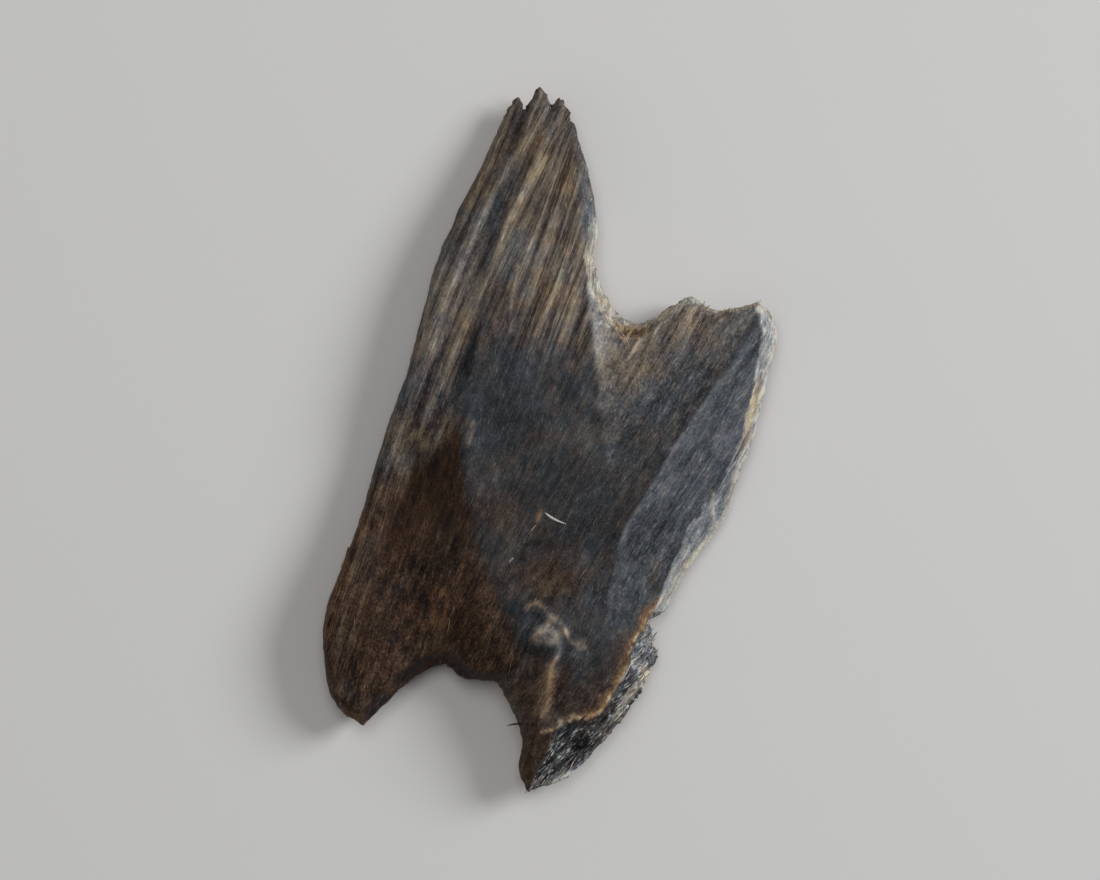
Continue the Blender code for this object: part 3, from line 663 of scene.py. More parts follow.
def scoop_wood_and_shade(spot, pull):
    """Dark brown and mottled in the scoop and the lobe, with a speckled band down the left edge.

    The scoop is painted darker: painted shade where it faces away from the light.
    """
    x, y, gap, left = spot.x, spot.y, spot.gap, spot.left
    speckled = rise(left, 0, 0.8) * rise(y, 5.0, 1.0)
    pull(speckled, tone=0.33, warm=0.5, dash=0.15, mottle=0.1, stripe=0.085)
    pull(speckled * rise(y, -1.0, -3.5), tone=0.28, warm=0.85, dash=0.05)
    pull(speckled * rise(y, -4.0, -6.5), tone=0.22, warm=1.0)
    # painted shade: the brown of the scoop left of the crest is painted dark, as it faces away from the
    # light
    scoop = rise(spot.band, -0.25, 0.65) * rise(left, 0, 0.5) * rise(y, 1.2, 0.4)
    pull(scoop, tone=0.16, warm=1.0, stripe=0.04, mottle=0.06, dash=0.0)
    pull(scoop * rise(y, -3.5, -6.5), tone=0.17, warm=1.0, mottle=0.12, dash=0.1, ochre=0.05)
    lobe_edge = rise(left, 1.0, 2.0)
    pull(lobe_edge * rise(gap, 1.2, 0.4) * rise(y, -5.0, -7.5), tone=0.2, warm=1.0)
    pull(lobe_edge * rise(gap, 0.6, 0.1) * rise(y, -2.5, -4.0), warm=1.0, ochre=0.25)
    pull(rise(left, -0.6, 0.8) * rise(left, 1.4, 0) * rise(y, -2.6, -4.1), tone=0.235, warm=0.8)


def shoulder_wood(spot, pull):
    """Brightest under the notch and at the peak, and dark along the bevel line as painted shade."""
    x, y, crease, bevel = spot.x, spot.y, spot.crease, spot.bevel
    shoulder = rise(crease, -0.1, 0.5) * rise(y, -3.5, 1.5) * rise(bevel, 0.1, -0.2)
    pull(shoulder, tone=0.365, warm=0.28, stripe=0.04, mottle=0.12, dash=0.2)
    pull(shoulder * bell(x, y, (3.6, 3.1), 1.5, 1.9), tone=0.43, warm=0.65, mottle=0.14)
    pull(rise(crease, -0.5, 0.5) * bell(x, y, (2.35, 5.3), 0.6, 1.1), tone=0.55, warm=0.5, mottle=0.12)
    pull(bell(x, y, (3.7, 0.0), 1.0, 1.3), tone=0.26, warm=0.25)
    pull(shoulder * bell(x, y, (6.1, 5.3), 1.1, 1.2), tone=0.42, warm=0.8, ochre=0.15, stripe=0.15)
    # painted shade: the shoulder is darkened beside the bevel line, against the lit facet
    painted_shade_by_bevel = rise(bevel, 0.1, -0.1) * np.exp(-bevel ** 2) * rise(y, -7.0, -5.0)
    pull(painted_shade_by_bevel * rise(y, 5.0, 2.0), tone=0.22, warm=0.2)


def bevel_wood_and_painted_light(spot, pull):
    """Blue-grey, darkest next to the rim, and duller towards the foot.

    Its paler blue-grey is painted light and sheen, where the facet faces the light.
    """
    x, y, facet = spot.x, spot.y, spot.facet
    # painted light: the facet is painted paler and bluer than the middle
    pull(facet, tone=0.335, warm=-0.15, stripe=0.05, mottle=0.1, dash=0.2)
    pull(facet * bell(x, y, (6.2, -2.0), 1.0, 1.5), tone=0.3)
    pull(facet * rise(spot.gap, 1.2, 0.8) * rise(y, -1.0, 1.0), tone=0.32)
    pull(facet * rise(y, -2.0, -6.0), tone=0.28, warm=-0.1)


def knot_and_foot_wood(spot, pull):
    """Brownish right of the scoop, reddish above the knot, pale on the knot, and brown on the foot."""
    x, y = spot.x, spot.y
    pull(bell(x, y, (-2.0, -4.0), 1.2, 1.7), tone=0.25, warm=0.5)
    pull(bell(x, y, (1.2, -1.2), 0.9, 1.8), tone=0.25)
    pull(bell(x, y, (0.3, -6.3), 1.8, 1.5) * (1 - spot.facet), tone=0.255, warm=0.85, mottle=0.1)
    pull(bell(x, y, (4.6, -6.3), 0.5, 0.9), tone=0.26, warm=0.6, ochre=0.03)
    pull(rise(y, FOOT_TOP, -10.8) * rise(x, -2.6, -2.0), tone=0.23, warm=0.65, mottle=0.1, ochre=0.07)
    pull(rise(y, -12.8, -13.5), tone=0.225, warm=0.85, ochre=0.07)
    pull(bell(x, y, (1.6, -9.9), 1.2, 1.9), tone=0.25, warm=0.25, ochre=0.0)
    pull(ease(1.6 * bell(x, y, (-0.22, -8.83), 0.7, 0.42) - 0.3), tone=0.43, warm=0.6, mottle=0.1)


def rim_wood(spot, pull):
    """The slanted rim of the notch and the right edge: pale, and cream where it is freshly torn.

    At its upper right it is painted paler and bluer: painted light where it faces the light.
    """
    x, y, gap, rim = spot.x, spot.y, spot.gap, spot.pale_rim
    at_notch = rise(y, 4.6, 5.1)
    pull(rim, tone=0.52, warm=0.25, stripe=0.16, mottle=0.1, dash=0.15, ochre=0.0)
    pull(rim * at_notch * rise(x, 7.0, 5.5), tone=0.6, warm=0.65, stripe=0.16)
    pull(bell(x, y, (3.5, 4.55), 0.85, 0.55), tone=0.44, warm=0.8, ochre=0.03, stripe=0.12)
    # painted light: the rim's upper right, facing the light, is painted paler and bluer
    pull(rim * rise(x, 8.3, 8.9) * rise(y, 2.0, 3.5), tone=0.67, warm=-0.15)
    pull(rim * bell(0, y, (0, 1.2), 1, 1.3), tone=0.62, warm=0.8, ochre=0.3)
    pull(rim * bell(0, y, (0, -3.9), 1, 2.2), tone=0.56, warm=-0.15, stripe=0.08, mottle=0.16, dash=0.3)
    pull(rim * rise(gap, 0.2, 0.08), tone=0.74, warm=0.3, ochre=0.05)
    torn_top = at_notch * rise(x, 2.0, 2.4) * rise(x, 9.4, 9.0)
    pull(torn_top * rise(gap, 0.16, 0.04), tone=0.6, warm=0.6, dash=0.3)


def arch_painted_shade(spot, pull):
    """Painted shade: dark brown on the thickness that shows in the arch, which faces away from the light.
    """
    arch = rise(spot.y, FOOT_TOP, -9.9) * rise(spot.x, -2.0, -2.5) * rise(spot.x, -8.6, -8.0)
    pull(arch * rise(spot.slant, -0.05, 0.2), tone=0.14, warm=0.5, dash=0.0)


def break_wood(spot, pull):
    """An orange-brown glow and a thin bright edge where the face ends, and the torn wood below it.

    The broken end is almost black, with pale torn fibres, a speckled lump and a cream outer edge.
    """
    x, y, past, broken = spot.x, spot.y, spot.past, spot.broken
    patchy = np.clip(0.6 + 0.7 * cloud(61, 0.6, x, y), 0, 1)
    on_face = rise(past, 0.08, -0.02) * rise(y, -13.2, -12.8)
    glow = on_face * np.exp(-(past / 0.34) ** 2) * rise(y, -6.6, -7.8)
    pull(glow, ochre=0.6 * patchy, tone=0.31 + 0.12 * patchy, warm=0.9, mottle=0.14)
    bright = np.exp(-(past / 0.075) ** 2) * rise(y, -7.0, -7.6) * rise(y, -13.1, -12.8)
    chips = ease(0.5 + 0.9 * value_noise(67, x / 0.18, y / 0.18) - 0.25 * rise(y, -11.6, -12.2))
    pull(bright * chips, tone=0.72, warm=0.75, ochre=0.2)
    pull(broken, tone=0.235, warm=0.2, stripe=0.14, dash=1.3, mottle=0.14, ochre=0.0)
    pull(broken * rise(spot.gap, 0.45, 0.25), tone=0.46 + 0.3 * spot.fine, warm=0.3)
    lump = ease(1.6 * bell(x, y, (4.0, -9.2), 0.9, 1.3) - 0.2)
    pull(broken * lump, tone=0.42, warm=-0.1, mottle=0.3, stripe=0.03, dash=0.5)
    pull(broken * bell(x, y, (3.55, -10.0), 0.16, 0.16), tone=0.75, warm=0.2)
    pull(broken * bell(x, y, (4.2, -10.4), 0.22, 0.22), tone=0.6, warm=0.7, ochre=0.2)


def back_wood(spot, pull):
    """Plain brown wood on the wall and the back, with resin in broad dark streaks."""
    resin = ease((0.1 - spot.broad - 0.4 * spot.middle) / 0.7)
    brown = 0.33 + 0.05 * spot.middle + 0.07 * spot.reed - 0.15 * resin
    pull(1 - rise(spot.level, 0.25, 0.6), tone=brown, warm=0.8 - 0.35 * resin, ochre=0.1, stripe=0.1,
         mottle=0.08, dash=0.15)


def wood_finish(spot):
    """What the material reads at each point: tone, warmth, ochre, and the strength of its patterns.

    It starts with the wood of the middle, whose blue-grey is a painted sheen. Each region then pulls the
    values towards its own, as far as its weight goes: a product of eased distances to the lines and to the
    outline. Some regions paint shade or light. The marks, the streaks and broad clouds are added to that,
    and the back comes last. Tone is the brightness on screen, from 0 to 1.
    """
    finish = {name: np.full(len(spot.x), value) for name, value in MIDDLE_WOOD_AND_SHEEN.items()}

    def pull(weight, **values):
        """Moves the finish towards the values, all the way where the weight is 1."""
        for name, value in values.items():
            finish[name] += weight * (value - finish[name])

    for region in (stem_wood, scoop_wood_and_shade, shoulder_wood, bevel_wood_and_painted_light, knot_and_foot_wood, rim_wood,
                   arch_painted_shade, break_wood):
        region(spot, pull)
    streaks = 0.4 * spot.broad + 0.6 * spot.middle + 0.7 * spot.reed + 0.4 * spot.fine
    finish["tone"] += spot.mark_tone * (1 - spot.broken) + finish["stripe"] * streaks
    finish["tone"] += 0.04 * cloud(63, 2.0, spot.x, spot.y) + 0.035 * cloud(64, 0.8, spot.x, spot.y)
    finish["warm"] += spot.mark_warm
    finish["warm"] += 0.3 * cloud(65, 1.6, spot.x, spot.y) + 0.15 * cloud(66, 0.6, spot.x, spot.y)
    finish["ochre"] += spot.mark_ochre
    back_wood(spot, pull)
    return {name: np.clip(values, 0, 1) for name, values in finish.items()}


# Meshes

def sides_of(triangles):
    """The three sides of every triangle, as pairs of points."""
    return np.vstack([triangles[:, [0, 1]], triangles[:, [1, 2]], triangles[:, [2, 0]]])


def snapped_lattice(ring):
    """Triangular lattice along the grain that ends exactly on the ring: x, y and triangles.

    A lattice edge that crosses the ring has its nearer end moved onto the ring, so every triangle is
    then wholly inside or wholly outside.
    """
    rows = int(LENGTH / STEP_ALONG) + 8
    columns = int(LENGTH / STEP_ACROSS) + 8
    i, j = np.meshgrid(np.arange(columns), np.arange(rows))
    u = ((i - columns / 2 + (j % 2) / 2) * STEP_ACROSS).ravel()
    v = ((j - rows / 2) * STEP_ALONG).ravel()
    x, y = turned(u, v, -GRAIN_LEAN)
    node = (j * columns + i)[:-1, :-1].ravel()
    odd = (j[:-1, :-1] % 2 == 1).ravel()
    right, up, corner = node + 1, node + columns, node + columns + 1
    triangles = np.vstack([
        np.column_stack([node, right, np.where(odd, corner, up)]),
        np.column_stack([np.where(odd, node, right), corner, up]),
    ])
    within = inside(ring, x, y)
    ends = sides_of(triangles)
    crossing = ends[within[ends[:, 0]] != within[ends[:, 1]]]
    near = np.unique(crossing)
    gap = np.full(len(x), np.inf)
    gap[near], place = to_edge(ring, x[near], y[near])
    nearer = np.where(gap[crossing[:, 0]] <= gap[crossing[:, 1]], crossing[:, 0], crossing[:, 1])
    moved = np.zeros(len(x), bool)
    moved[nearer] = True
    x[moved], y[moved] = place[moved[near], :2].T
    usable = within | moved
    triangles = triangles[usable[triangles].all(1)]
    rim_only = moved[triangles].all(1)
    middle_x, middle_y = x[triangles].mean(1), y[triangles].mean(1)
    kept = ~rim_only
    kept[rim_only] = inside(ring, middle_x[rim_only], middle_y[rim_only])
    triangles = triangles[kept]
    used, triangles = np.unique(triangles, return_inverse=True)
    return x[used], y[used], triangles.reshape(-1, 3)


def boundary_edges(triangles):
    """The edges that only one triangle has, in that triangle's direction."""
    ends = sides_of(triangles)
    key = np.sort(ends, 1) @ [triangles.max() + 1, 1]
    _, first, count = np.unique(key, return_index=True, return_counts=True)
    return ends[first[count == 1]]


def new_mesh(name, points, faces, finish, grain):
    """A smooth mesh from points in millimetres, with the finish and the grain as its attributes."""
    mesh = bpy.data.meshes.new(name)
    mesh.from_pydata((points * MM).tolist(), [], faces)
    for attribute, values in finish.items():
        made = mesh.attributes.new(attribute, "FLOAT", "POINT")
        made.data.foreach_set("value", values.astype(np.float32))
    made = mesh.attributes.new("grain", "FLOAT_VECTOR", "POINT")
    made.data.foreach_set("vector", grain.astype(np.float32).ravel())
    mesh.shade_smooth()
    mesh.update()
    return mesh


def chip_mesh(ring):
    """The whole chip: face and back on the same lattice, and a wall of rows joining their edges.

    It also returns the middle and the scale that fit the chip to the solid's box.
    """
    flat_x, flat_y, triangles = snapped_lattice(ring)
    count = len(flat_x)
    edge = boundary_edges(triangles)
    edge_points = np.unique(edge)
    levels = np.linspace(1, 0, WALL_ROWS + 1)
    column = np.zeros(count, int)
    column[edge_points] = np.arange(len(edge_points))

    def point(v, row):
        """Index of an edge point's copy in that row of the wall: row 0 is the face, the last the back."""
        if row == 0:
            return v
        if row == WALL_ROWS:
            return v + count
        return 2 * count + (row - 1) * len(edge_points) + column[v]

    walls = [np.column_stack([point(edge[:, 0], row), point(edge[:, 0], row + 1),
                              point(edge[:, 1], row + 1), point(edge[:, 1], row)])
             for row in range(WALL_ROWS)]
    x = np.concatenate([flat_x, flat_x] + [flat_x[edge_points]] * (WALL_ROWS - 1))
    y = np.concatenate([flat_y, flat_y] + [flat_y[edge_points]] * (WALL_ROWS - 1))
    level = np.concatenate([np.ones(count), np.zeros(count), np.repeat(levels[1:-1], len(edge_points))])
    spot = survey(ring, x, y, level)
    points = np.column_stack(place_on_chip(spot))
    lowest, highest = points.min(0), points.max(0)
    middle = np.array([*(lowest + highest)[:2] / 2, lowest[2]])
    scale = CHIP_SIZE / (highest - lowest)
    grain = np.column_stack([spot.across, spot.along, spot.depth])
    faces = triangles.tolist() + (triangles[:, ::-1] + count).tolist() + np.vstack(walls).tolist()
    mesh = new_mesh("chip_surface", (points - middle) * scale, faces, wood_finish(spot), grain)
    return mesh, middle, scale


# Raised fibres

FIBRE_RINGS = 7
FIBRE_SIDES = 6
LOOSE_FIBRES = 200
TORN_FIBRES = 900

# Height of a fibre whose root is off the chip.
HEIGHT_OFF_CHIP = 1.5

# Fibres at the outline: least and most that the edge faces along the grain, how far right they go, the
# random value from -1 to 1 above which a point has one, shortest and longest, and width.
EDGE_FIBRES = [(0.4, 1.6, 20.0, 0.4, 0.16, 0.34, 0.045), (0.1, 0.4, -3.0, 0.85, 0.3, 0.8, 0.05)]

# Splinters seen in the photograph: root, tip, width, sideways bend, tone, warmth and ochre.
SPLINTERS = [
    ((-0.26, -3.36), (0.66, -3.86), 0.13, 0.06, 0.88, 0.2, 0.0),
    ((-0.57, -3.85), (-1.05, -4.45), 0.075, 0.03, 0.42, 0.5, 0.1),
    ((-1.1, -4.5), (-1.55, -5.2), 0.075, -0.04, 0.4, 0.4, 0.1),
    ((-1.62, -5.35), (-1.82, -5.6), 0.12, 0.02, 0.62, 0.3, 0.05),
    ((-1.2, -12.72), (-1.95, -12.82), 0.09, 0.05, 0.16, 0.6, 0.1),
    ((-8.95, -4.85), (-9.28, -5.75), 0.13, -0.06, 0.3, 1.0, 0.7),
    ((3.98, 4.4), (3.4, 3.45), 0.09, 0.05, 0.62, 0.8, 0.05),
    ((3.0, 4.75), (3.5, 4.0), 0.08, -0.08, 0.58, 0.8, 0.05),
    ((3.1, -10.75), (3.55, -10.0), 0.1, 0.05, 0.7, 0.3, 0.0),
    ((3.15, -11.7), (3.75, -10.9), 0.08, -0.04, 0.66, 0.5, 0.1),
]


def share(seed, cells):
    """A steady random value from 0 to 1 for each whole number."""
    return 0.5 + 0.5 * scrambled(seed, cells)


def edge_fibres(ring):
    """Root, heading, length and width of the fibres at the outline, as rows of an array.

    On the edges that cut across the grain they stick outwards along it, and along the left edge they
    lie almost flat against it.
    """
    lean = 0.34 + 0.02 * (ring[:, 0] + 3)
    facing = -(ring[:, 3] * np.sin(lean) + ring[:, 4] * np.cos(lean))
    rows = []
    for least, most, furthest, rare, shortest, longest, wide in EDGE_FIBRES:
        picked = (np.abs(facing) > least) & (np.abs(facing) < most) & (ring[:, 0] < furthest)
        picked &= scrambled(71, np.arange(len(ring))) > rare
        which = np.flatnonzero(picked)
        root = ring[which, :2] + 0.12 * ring[which, 3:5]
        turn = np.where(facing[which] > 0, 0, np.pi) + lean[which] + 0.3 * scrambled(72, which)
        size = shortest + (longest - shortest) * share(73, which) ** 2
        rows.append(np.column_stack([root, turn, size, wide * (1 + 0.4 * scrambled(74, which))]))
    return np.vstack(rows)


def loose_fibres(ring):
    """Fibres that lie loose along the grain, scattered over the face, as such rows."""
    which = np.arange(LOOSE_FIBRES)
    x, y = 10 * scrambled(75, which), 15.5 * scrambled(76, which)
    kept = inside(ring, x, y) & (to_edge(ring, x, y)[0] > 0.5)
    which, x, y = which[kept], x[kept], y[kept]
    turn = GRAIN_LEAN + np.pi + 0.02 * (x + 3) + 0.22 * scrambled(77, which)
    size = 0.3 + 0.6 * share(78, which)
    return np.column_stack([x, y, turn, size, 0.025 * (1 + 0.3 * scrambled(79, which))])


def torn_fibres(ring):
    """Short torn fibres that fill the broken end, as such rows."""
    which = np.arange(TORN_FIBRES)
    x, y = 2 + 3 * scrambled(91, which), -11.7 + 4 * scrambled(92, which)
    kept = inside(ring, x, y) & (right_of(BREAK, x, y) > 0.05)
    which, x, y = which[kept], x[kept], y[kept]
    turn = BROKEN_LEAN + 0.3 * scrambled(93, which)
    size = 0.2 + 0.5 * share(94, which) ** 2
    return np.column_stack([x, y, turn, size, 0.06 * (1 + 0.4 * scrambled(95, which))])


def all_fibres(ring):
    """Every raised fibre as a row: root, heading, length, width, sideways bend, tone, warmth and ochre.

    The small ones take their colour from the wood at their root, and are paler than it.
    """
    small = np.vstack([edge_fibres(ring), loose_fibres(ring), torn_fibres(ring)])
    which = np.arange(len(small))
    wood = wood_finish(survey(ring, small[:, 0], small[:, 1], np.ones(len(small))))
    small = np.column_stack([small, 0.08 * small[:, 3] * scrambled(82, which),
                             wood["tone"] + 0.12 + 0.14 * scrambled(81, which),
                             wood["warm"] + 0.2, wood["ochre"] + 0.05])
    seen = [[*root, np.arctan2(tip[0] - root[0], tip[1] - root[1]),
             np.hypot(tip[0] - root[0], tip[1] - root[1]), *look] for root, tip, *look in SPLINTERS]
    return np.vstack([small, seen])


def middle_lines(ring, t, root_x, root_y, turn, size, wide, bend):
    """Points along the middle line of each fibre, from its root at t = 0 to its tip at 1.

    From above it is straight, bent sideways as a parabola. It runs straight from the height of the face
    at its root to that at its tip, or of the edge where it runs past it, with a second parabola over
    what is in between.
    """
    aside = 4 * bend * t * (1 - t)
    x = root_x + size * t * np.sin(turn) + aside * np.cos(turn)
    y = root_y + size * t * np.cos(turn) - aside * np.sin(turn)
    spot = survey(ring, x.ravel(), y.ravel(), np.ones(x.size))
    z = place_on_chip(spot)[2].reshape(x.shape)
    within = inside(ring, x.ravel(), y.ravel()).reshape(x.shape)
    z = np.where(within, z, np.minimum.accumulate(np.where(within, z, np.inf), 1))
    z = np.where(np.isfinite(z), z, HEIGHT_OFF_CHIP)
    straight = z[:, :1] + (z[:, -1:] - z[:, :1]) * t
    hump = np.maximum(z - straight, 0).max(1, keepdims=True)
    return x, y, straight + 4 * hump * t * (1 - t) - 0.1 * wide + 0.06 * size * t ** 2


def tube_faces(count):
    """Faces of that many tubes whose rings come one after the other, each with two end points."""
    each = FIBRE_RINGS * FIBRE_SIDES
    side = np.arange(FIBRE_SIDES)
    beside = (side + 1) % FIBRE_SIDES
    quad = np.column_stack([side, beside, beside + FIBRE_SIDES, side + FIBRE_SIDES])
    quads = np.vstack([quad + row * FIBRE_SIDES for row in range(FIBRE_RINGS - 1)])
    last = each - FIBRE_SIDES
    caps = np.vstack([np.column_stack([beside, side, np.full(FIBRE_SIDES, each)]),
                      np.column_stack([last + side, last + beside, np.full(FIBRE_SIDES, each + 1)])])
    start = (np.arange(count) * (each + 2))[:, None, None]
    return (start + quads).reshape(-1, 4).tolist() + (start + caps).reshape(-1, 3).tolist()


def fibre_mesh(ring, middle, scale):
    """All raised fibres as one mesh: flattened tubes, thickest near the root and closed at both ends.

    The tube's half width follows the square root of a parabola, and its thickness is 0.7 of its width.
    """
    root_x, root_y, turn, size, wide, bend, tone, warm, ochre = all_fibres(ring).T[:, :, None]
    t = np.linspace(0, 1, FIBRE_RINGS)[None, :]
    x, y, z = middle_lines(ring, t, root_x, root_y, turn, size, wide, bend)
    half = 0.5 * wide * np.sqrt(np.clip(4 * (0.02 + t) * (1.02 - t), 0, 1)) * (1.15 - 0.6 * t)
    angle = np.arange(FIBRE_SIDES) * 2 * np.pi / FIBRE_SIDES
    out, up = half[:, :, None] * np.cos(angle), 0.7 * half[:, :, None] * np.sin(angle)
    flank = turn[:, :, None]
    points = np.stack([x[:, :, None] + out * np.cos(flank), y[:, :, None] - out * np.sin(flank),
                       z[:, :, None] + up], -1)
    heading = np.stack([np.sin(turn), np.cos(turn), 0 * turn], -1)
    tips = np.stack([x, y, z], -1)[:, [0, -1]] + 0.3 * wide[:, :, None] * heading * [[[-1.0], [1.0]]]
    count, each = len(x), FIBRE_RINGS * FIBRE_SIDES + 2
    points = np.concatenate([points.reshape(count, each - 2, 3), tips], 1).reshape(-1, 3)
    finish = {"tone": tone, "warm": warm, "ochre": ochre, "stripe": np.full(tone.shape, 0.1),
              "mottle": np.full(tone.shape, 0.08), "dash": np.zeros(tone.shape)}
    finish = {name: np.repeat(values, each) for name, values in finish.items()}
    return new_mesh("raised_fibres", (points - middle) * scale, tube_faces(count), finish,
                    points * [1.0, 1.0, 0.2])


# Materials

# Colours of the wood from its darkest to its palest, each at its tone: grey wood full of resin, whose
# blue-grey also stands for painted sheen and light, brown wood, and freshly torn ochre wood.
WOODS = [
    [(0.0, "07080a"), (0.1, "15171a"), (0.22, "34373a"), (0.32, "4d5257"), (0.45, "6f7378"),
     (0.63, "9c9fa2"), (0.85, "d8d7d0")],
    [(0.0, "0b0603"), (0.1, "22150d"), (0.2, "432e20"), (0.32, "645140"), (0.45, "89765f"),
     (0.63, "b3a084"), (0.85, "e3d5b9")],
    [(0.05, "1c0f06"), (0.2, "4f2e14"), (0.35, "865628"), (0.5, "b07c3c"), (0.7, "d1ae70"),
     (0.9, "eedcb0")],
]


def linear(hex_colour):
    """An sRGB hex value as the linear colour that a shader takes."""
    parts = [int(hex_colour[i:i + 2], 16) / 255 for i in (0, 2, 4)]
    return [p / 12.92 if p <= 0.04045 else ((p + 0.055) / 1.055) ** 2.4 for p in parts] + [1.0]


def add(tree, kind, *values, output=None, **named):
    """Adds a node, sets it up, and returns its first output or the one of that name.

    The values fill the inputs that the node shows, in their order. A named value with a capital in its
    name is for the input of that name, with underscores for spaces, and any other is a setting of the
    node. A value that is an output of another node is linked.
    """
    node = tree.nodes.new("ShaderNode" + kind)
    for name, value in named.items():
        if name.islower():
            setattr(node, name, value)
    filled = list(zip([socket for socket in node.inputs if socket.enabled], values))
    filled += [(node.inputs[name.replace("_", " ")], value) for name, value in named.items()
               if not name.islower()]
    for socket, value in filled:
        if isinstance(value, bpy.types.NodeSocket):
            tree.links.new(value, socket)
        else:
            socket.default_value = value
    return node.outputs[output] if output else [socket for socket in node.outputs if socket.enabled][0]


def agarwood_material():
    """Raw agarwood, split and carved by knife: dull dark wood full of resin, with paler fibres.

    The resin gives a faint sheen in the dark parts, and the pale fibres are quite matt. Real fibres
    are 0.02 mm wide, too fine to show, so they are drawn three to ten times as wide.
    """
    material = bpy.data.materials.new("carved_agarwood")
    material.use_nodes = True
    tree = material.node_tree
    shader = tree.nodes["Principled BSDF"]
    put = partial(add, tree)
    own = {name: put("Attribute", attribute_name=name, output="Fac") for name in MIDDLE_WOOD_AND_SHEEN}

    def grain_noise(place, width_mm, length_mm, detail, output="Fac"):
        """Noise whose cells are that wide across the grain and that long along it."""
        cells = put("Mapping", place, Scale=(1 / width_mm, 1 / length_mm, 1 / width_mm))
        return put("TexNoise", cells, Scale=1.0, Detail=detail, output=output)

    # each fibre starts at its own place along the grain
    grain = put("Attribute", attribute_name="grain", output="Vector")
    start = grain_noise(grain, 0.2, 1000.0, 0.0)

    def shifted(most_mm):
        """The place in the grain, moved along it by up to that much from fibre to fibre."""
        offset = put("CombineXYZ", Y=put("Math", start, most_mm, operation="MULTIPLY"))
        return put("VectorMath", grain, offset, operation="ADD")

    loose = shifted(2.0)
    reed = put("MapRange", grain_noise(shifted(12.0), 0.2, 5.0, 1.0), From_Min=0.4, From_Max=0.6,
               interpolation_type="SMOOTHSTEP")
    fibre = grain_noise(shifted(6.0), 0.12, 1.5, 3.0)
    hair = grain_noise(loose, 0.055, 0.45, 2.0)
    blotch = grain_noise(grain, 0.35, 0.6, 4.0)
    grit = grain_noise(grain, 0.09, 0.13, 2.0)
    rarity = put("Math", own["dash"], -0.07, 0.62, operation="MULTIPLY_ADD")
    fleck = put("MapRange", grain_noise(loose, 0.08, 0.32, 1.0), From_Min=rarity, From_Max=0.69,
                interpolation_type="SMOOTHSTEP")

    # tone: streaks, blotches with fine grit in them, and pale flecks
    streak = put("Math", put("Math", hair, 0.7, fibre, operation="MULTIPLY_ADD"), 3.0, -3.05,
                 operation="MULTIPLY_ADD")
    streak = put("Math", streak, reed, operation="ADD")
    speckle = put("Math", blotch, grit, operation="ADD")
    mottled = put("Math", speckle, 3.0, -3.0, operation="MULTIPLY_ADD")
    pale = put("Math", own["dash"], 0.45, 0.05, operation="MULTIPLY_ADD")
    tone = own["tone"]
    for pattern, strength in ((streak, own["stripe"]), (mottled, own["mottle"]), (fleck, pale)):
        tone = put("Math", pattern, strength, tone, operation="MULTIPLY_ADD")

    # colour: from cool grey to warm brown by warmth, and towards ochre in freshly torn wood
    shades = []
    for stops in WOODS:
        shades.append(put("ValToRGB", tone))
        elements = shades[-1].node.color_ramp.elements
        while len(elements) < len(stops):
            elements.new(0.5)
        for element, (place, colour) in zip(elements, stops):
            element.position = place
            element.color = linear(colour)
    warmth = put("Math", put("Math", blotch, 0.5, operation="SUBTRACT"), 0.8, own["warm"],
                 operation="MULTIPLY_ADD")
    amber = put("Math", own["ochre"], put("Math", blotch, 1.6, 0.2, operation="MULTIPLY_ADD"),
                operation="MULTIPLY")
    wood = shades[0]
    for amount, shade in ((warmth, shades[1]), (amber, shades[2])):
        wood = put("Mix", amount, wood, shade, data_type="RGBA")

    # small bundles of fibres differ a little in hue: pinkish, olive or bluish
    bundles = grain_noise(loose, 0.22, 0.7, 2.0, "Color")
    tint = put("VectorMath", bundles, (0.26, 0.26, 0.26), (0.87, 0.87, 0.87), operation="MULTIPLY_ADD")
    tree.links.new(put("VectorMath", wood, tint, operation="MULTIPLY"), shader.inputs["Base Color"])

    # sheen where the wood is dark, and fibres and grit that stand up a little
    rough = put("MapRange", tone, From_Min=0.08, From_Max=0.5, To_Min=0.5, To_Max=0.8)
    tree.links.new(rough, shader.inputs["Roughness"])
    shader.inputs["IOR"].default_value = 1.5
    shader.inputs["Specular IOR Level"].default_value = 0.16
    strands = put("Math", reed, 0.4, put("Math", fibre, hair, operation="ADD"), operation="MULTIPLY_ADD")
    relief = put("Math", own["stripe"], 6.0, 0.35, operation="MULTIPLY_ADD")
    height = put("Math", strands, relief, speckle, operation="MULTIPLY_ADD")
    bump = put("Bump", Strength=1.0, Distance=0.00003, Height=height)
    tree.links.new(bump, shader.inputs["Normal"])
    return material


def paper_material():
    """Matt pale card for the floor."""
    material = bpy.data.materials.new("pale_floor")
    material.use_nodes = True
    shader = material.node_tree.nodes["Principled BSDF"]
    shader.inputs["Base Color"].default_value = linear("efedea")
    shader.inputs["Roughness"].default_value = 0.9
    return material


def add_object(name, mesh, material):
    """Puts a mesh with its material in the scene, at the origin."""
    mesh.materials.append(material)
    obj = bpy.data.objects.new(name, mesh)
    bpy.context.scene.collection.objects.link(obj)
    return obj


# Light, floor and camera

# Soft round lights: name, place and size in metres, power in watts, and colour.
LIGHTS = [("window", (0.34, 0.12, 0.22), 0.2, 1.1, (0.96, 0.98, 1.0)),
          ("top", (-0.04, 0.12, 0.45), 0.3, 0.45, (1.0, 1.0, 1.0)),
          ("left_fill", (-0.35, -0.15, 0.2), 0.3, 0.1, (1.0, 0.9, 0.8))]
SKY_COLOUR = (0.93, 0.96, 1.0, 1.0)
SKY_STRENGTH = 0.13
FLOOR_HALF_WIDTH = 0.6

# Lens and sensor in millimetres, the picture's height for its width, the share of that height that the
# chip takes, and the camera's height over the horizon in degrees.
LENS = 320.0
SENSOR = 36.0
PICTURE_SHAPE = 0.8
CHIP_SHARE = 0.8
CAMERA_ELEVATION = 88


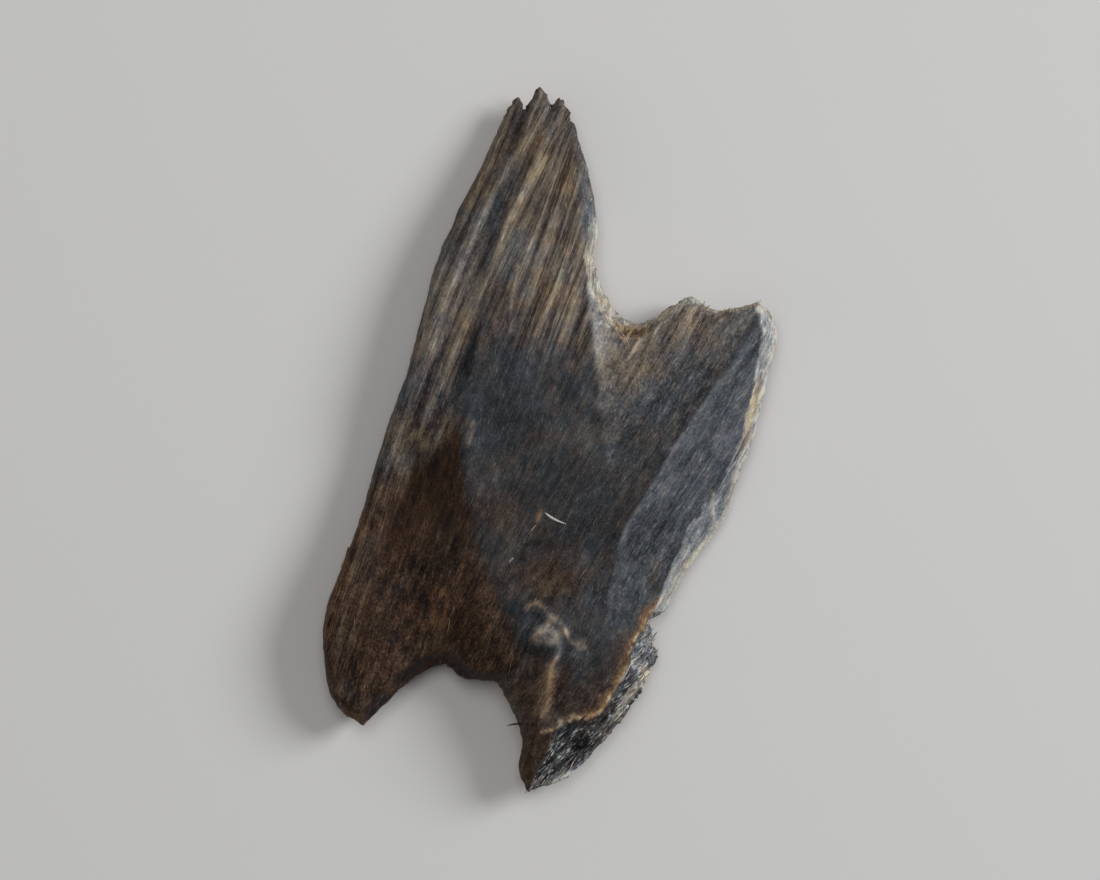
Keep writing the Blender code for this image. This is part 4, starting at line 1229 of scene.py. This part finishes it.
def aim(obj, target):
    """Turns a light or a camera towards a place."""
    obj.rotation_euler = (Vector(target) - obj.location).to_track_quat("-Z", "Y").to_euler()


def soft_light(name, place, size, energy, colour):
    """A round area light that shines at the chip."""
    data = bpy.data.lights.new(name, "AREA")
    data.shape = "DISK"
    data.size = size
    data.energy = energy
    data.color = colour
    light = bpy.data.objects.new(name, data)
    light.location = place
    bpy.context.scene.collection.objects.link(light)
    aim(light, (0, 0, 0))


def studio():
    """Pale floor, a big soft light from the right, weaker ones from above and from the left, and a sky."""
    half = FLOOR_HALF_WIDTH
    mesh = bpy.data.meshes.new("floor")
    mesh.from_pydata([(-half, -half, 0), (half, -half, 0), (half, half, 0), (-half, half, 0)], [],
                     [(0, 1, 2, 3)])
    add_object("floor", mesh, paper_material())
    for light in LIGHTS:
        soft_light(*light)
    world = bpy.data.worlds.new("studio")
    world.use_nodes = True
    sky = world.node_tree.nodes["Background"]
    sky.inputs["Color"].default_value = SKY_COLOUR
    sky.inputs["Strength"].default_value = SKY_STRENGTH
    bpy.context.scene.world = world
    bpy.context.scene.view_settings.view_transform = "Standard"


def camera():
    """Long lens almost straight over the chip, with the stem at the top of the picture."""
    data = bpy.data.cameras.new("camera")
    data.sensor_width = SENSOR
    data.lens = LENS
    data.clip_start = 0.01
    cam = bpy.data.objects.new("camera", data)
    bpy.context.scene.collection.objects.link(cam)
    distance = LENGTH * MM / CHIP_SHARE / (SENSOR * PICTURE_SHAPE / LENS)
    elevation = np.radians(CAMERA_ELEVATION)
    cam.location = (0, -distance * np.cos(elevation), distance * np.sin(elevation))
    aim(cam, (0, 0, 0))
    bpy.context.scene.camera = cam


wood = agarwood_material()
outline = ragged(outline_ring(STEP_OUTLINE))
surface, chip_middle, chip_scale = chip_mesh(outline)
chip = add_object("chip_surface", surface, wood)
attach(chip, "root")
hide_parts("agarwood_chip")
splinters = add_object("raised_fibres", fibre_mesh(outline, chip_middle, chip_scale), wood)
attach(splinters, "root")
studio()
camera()
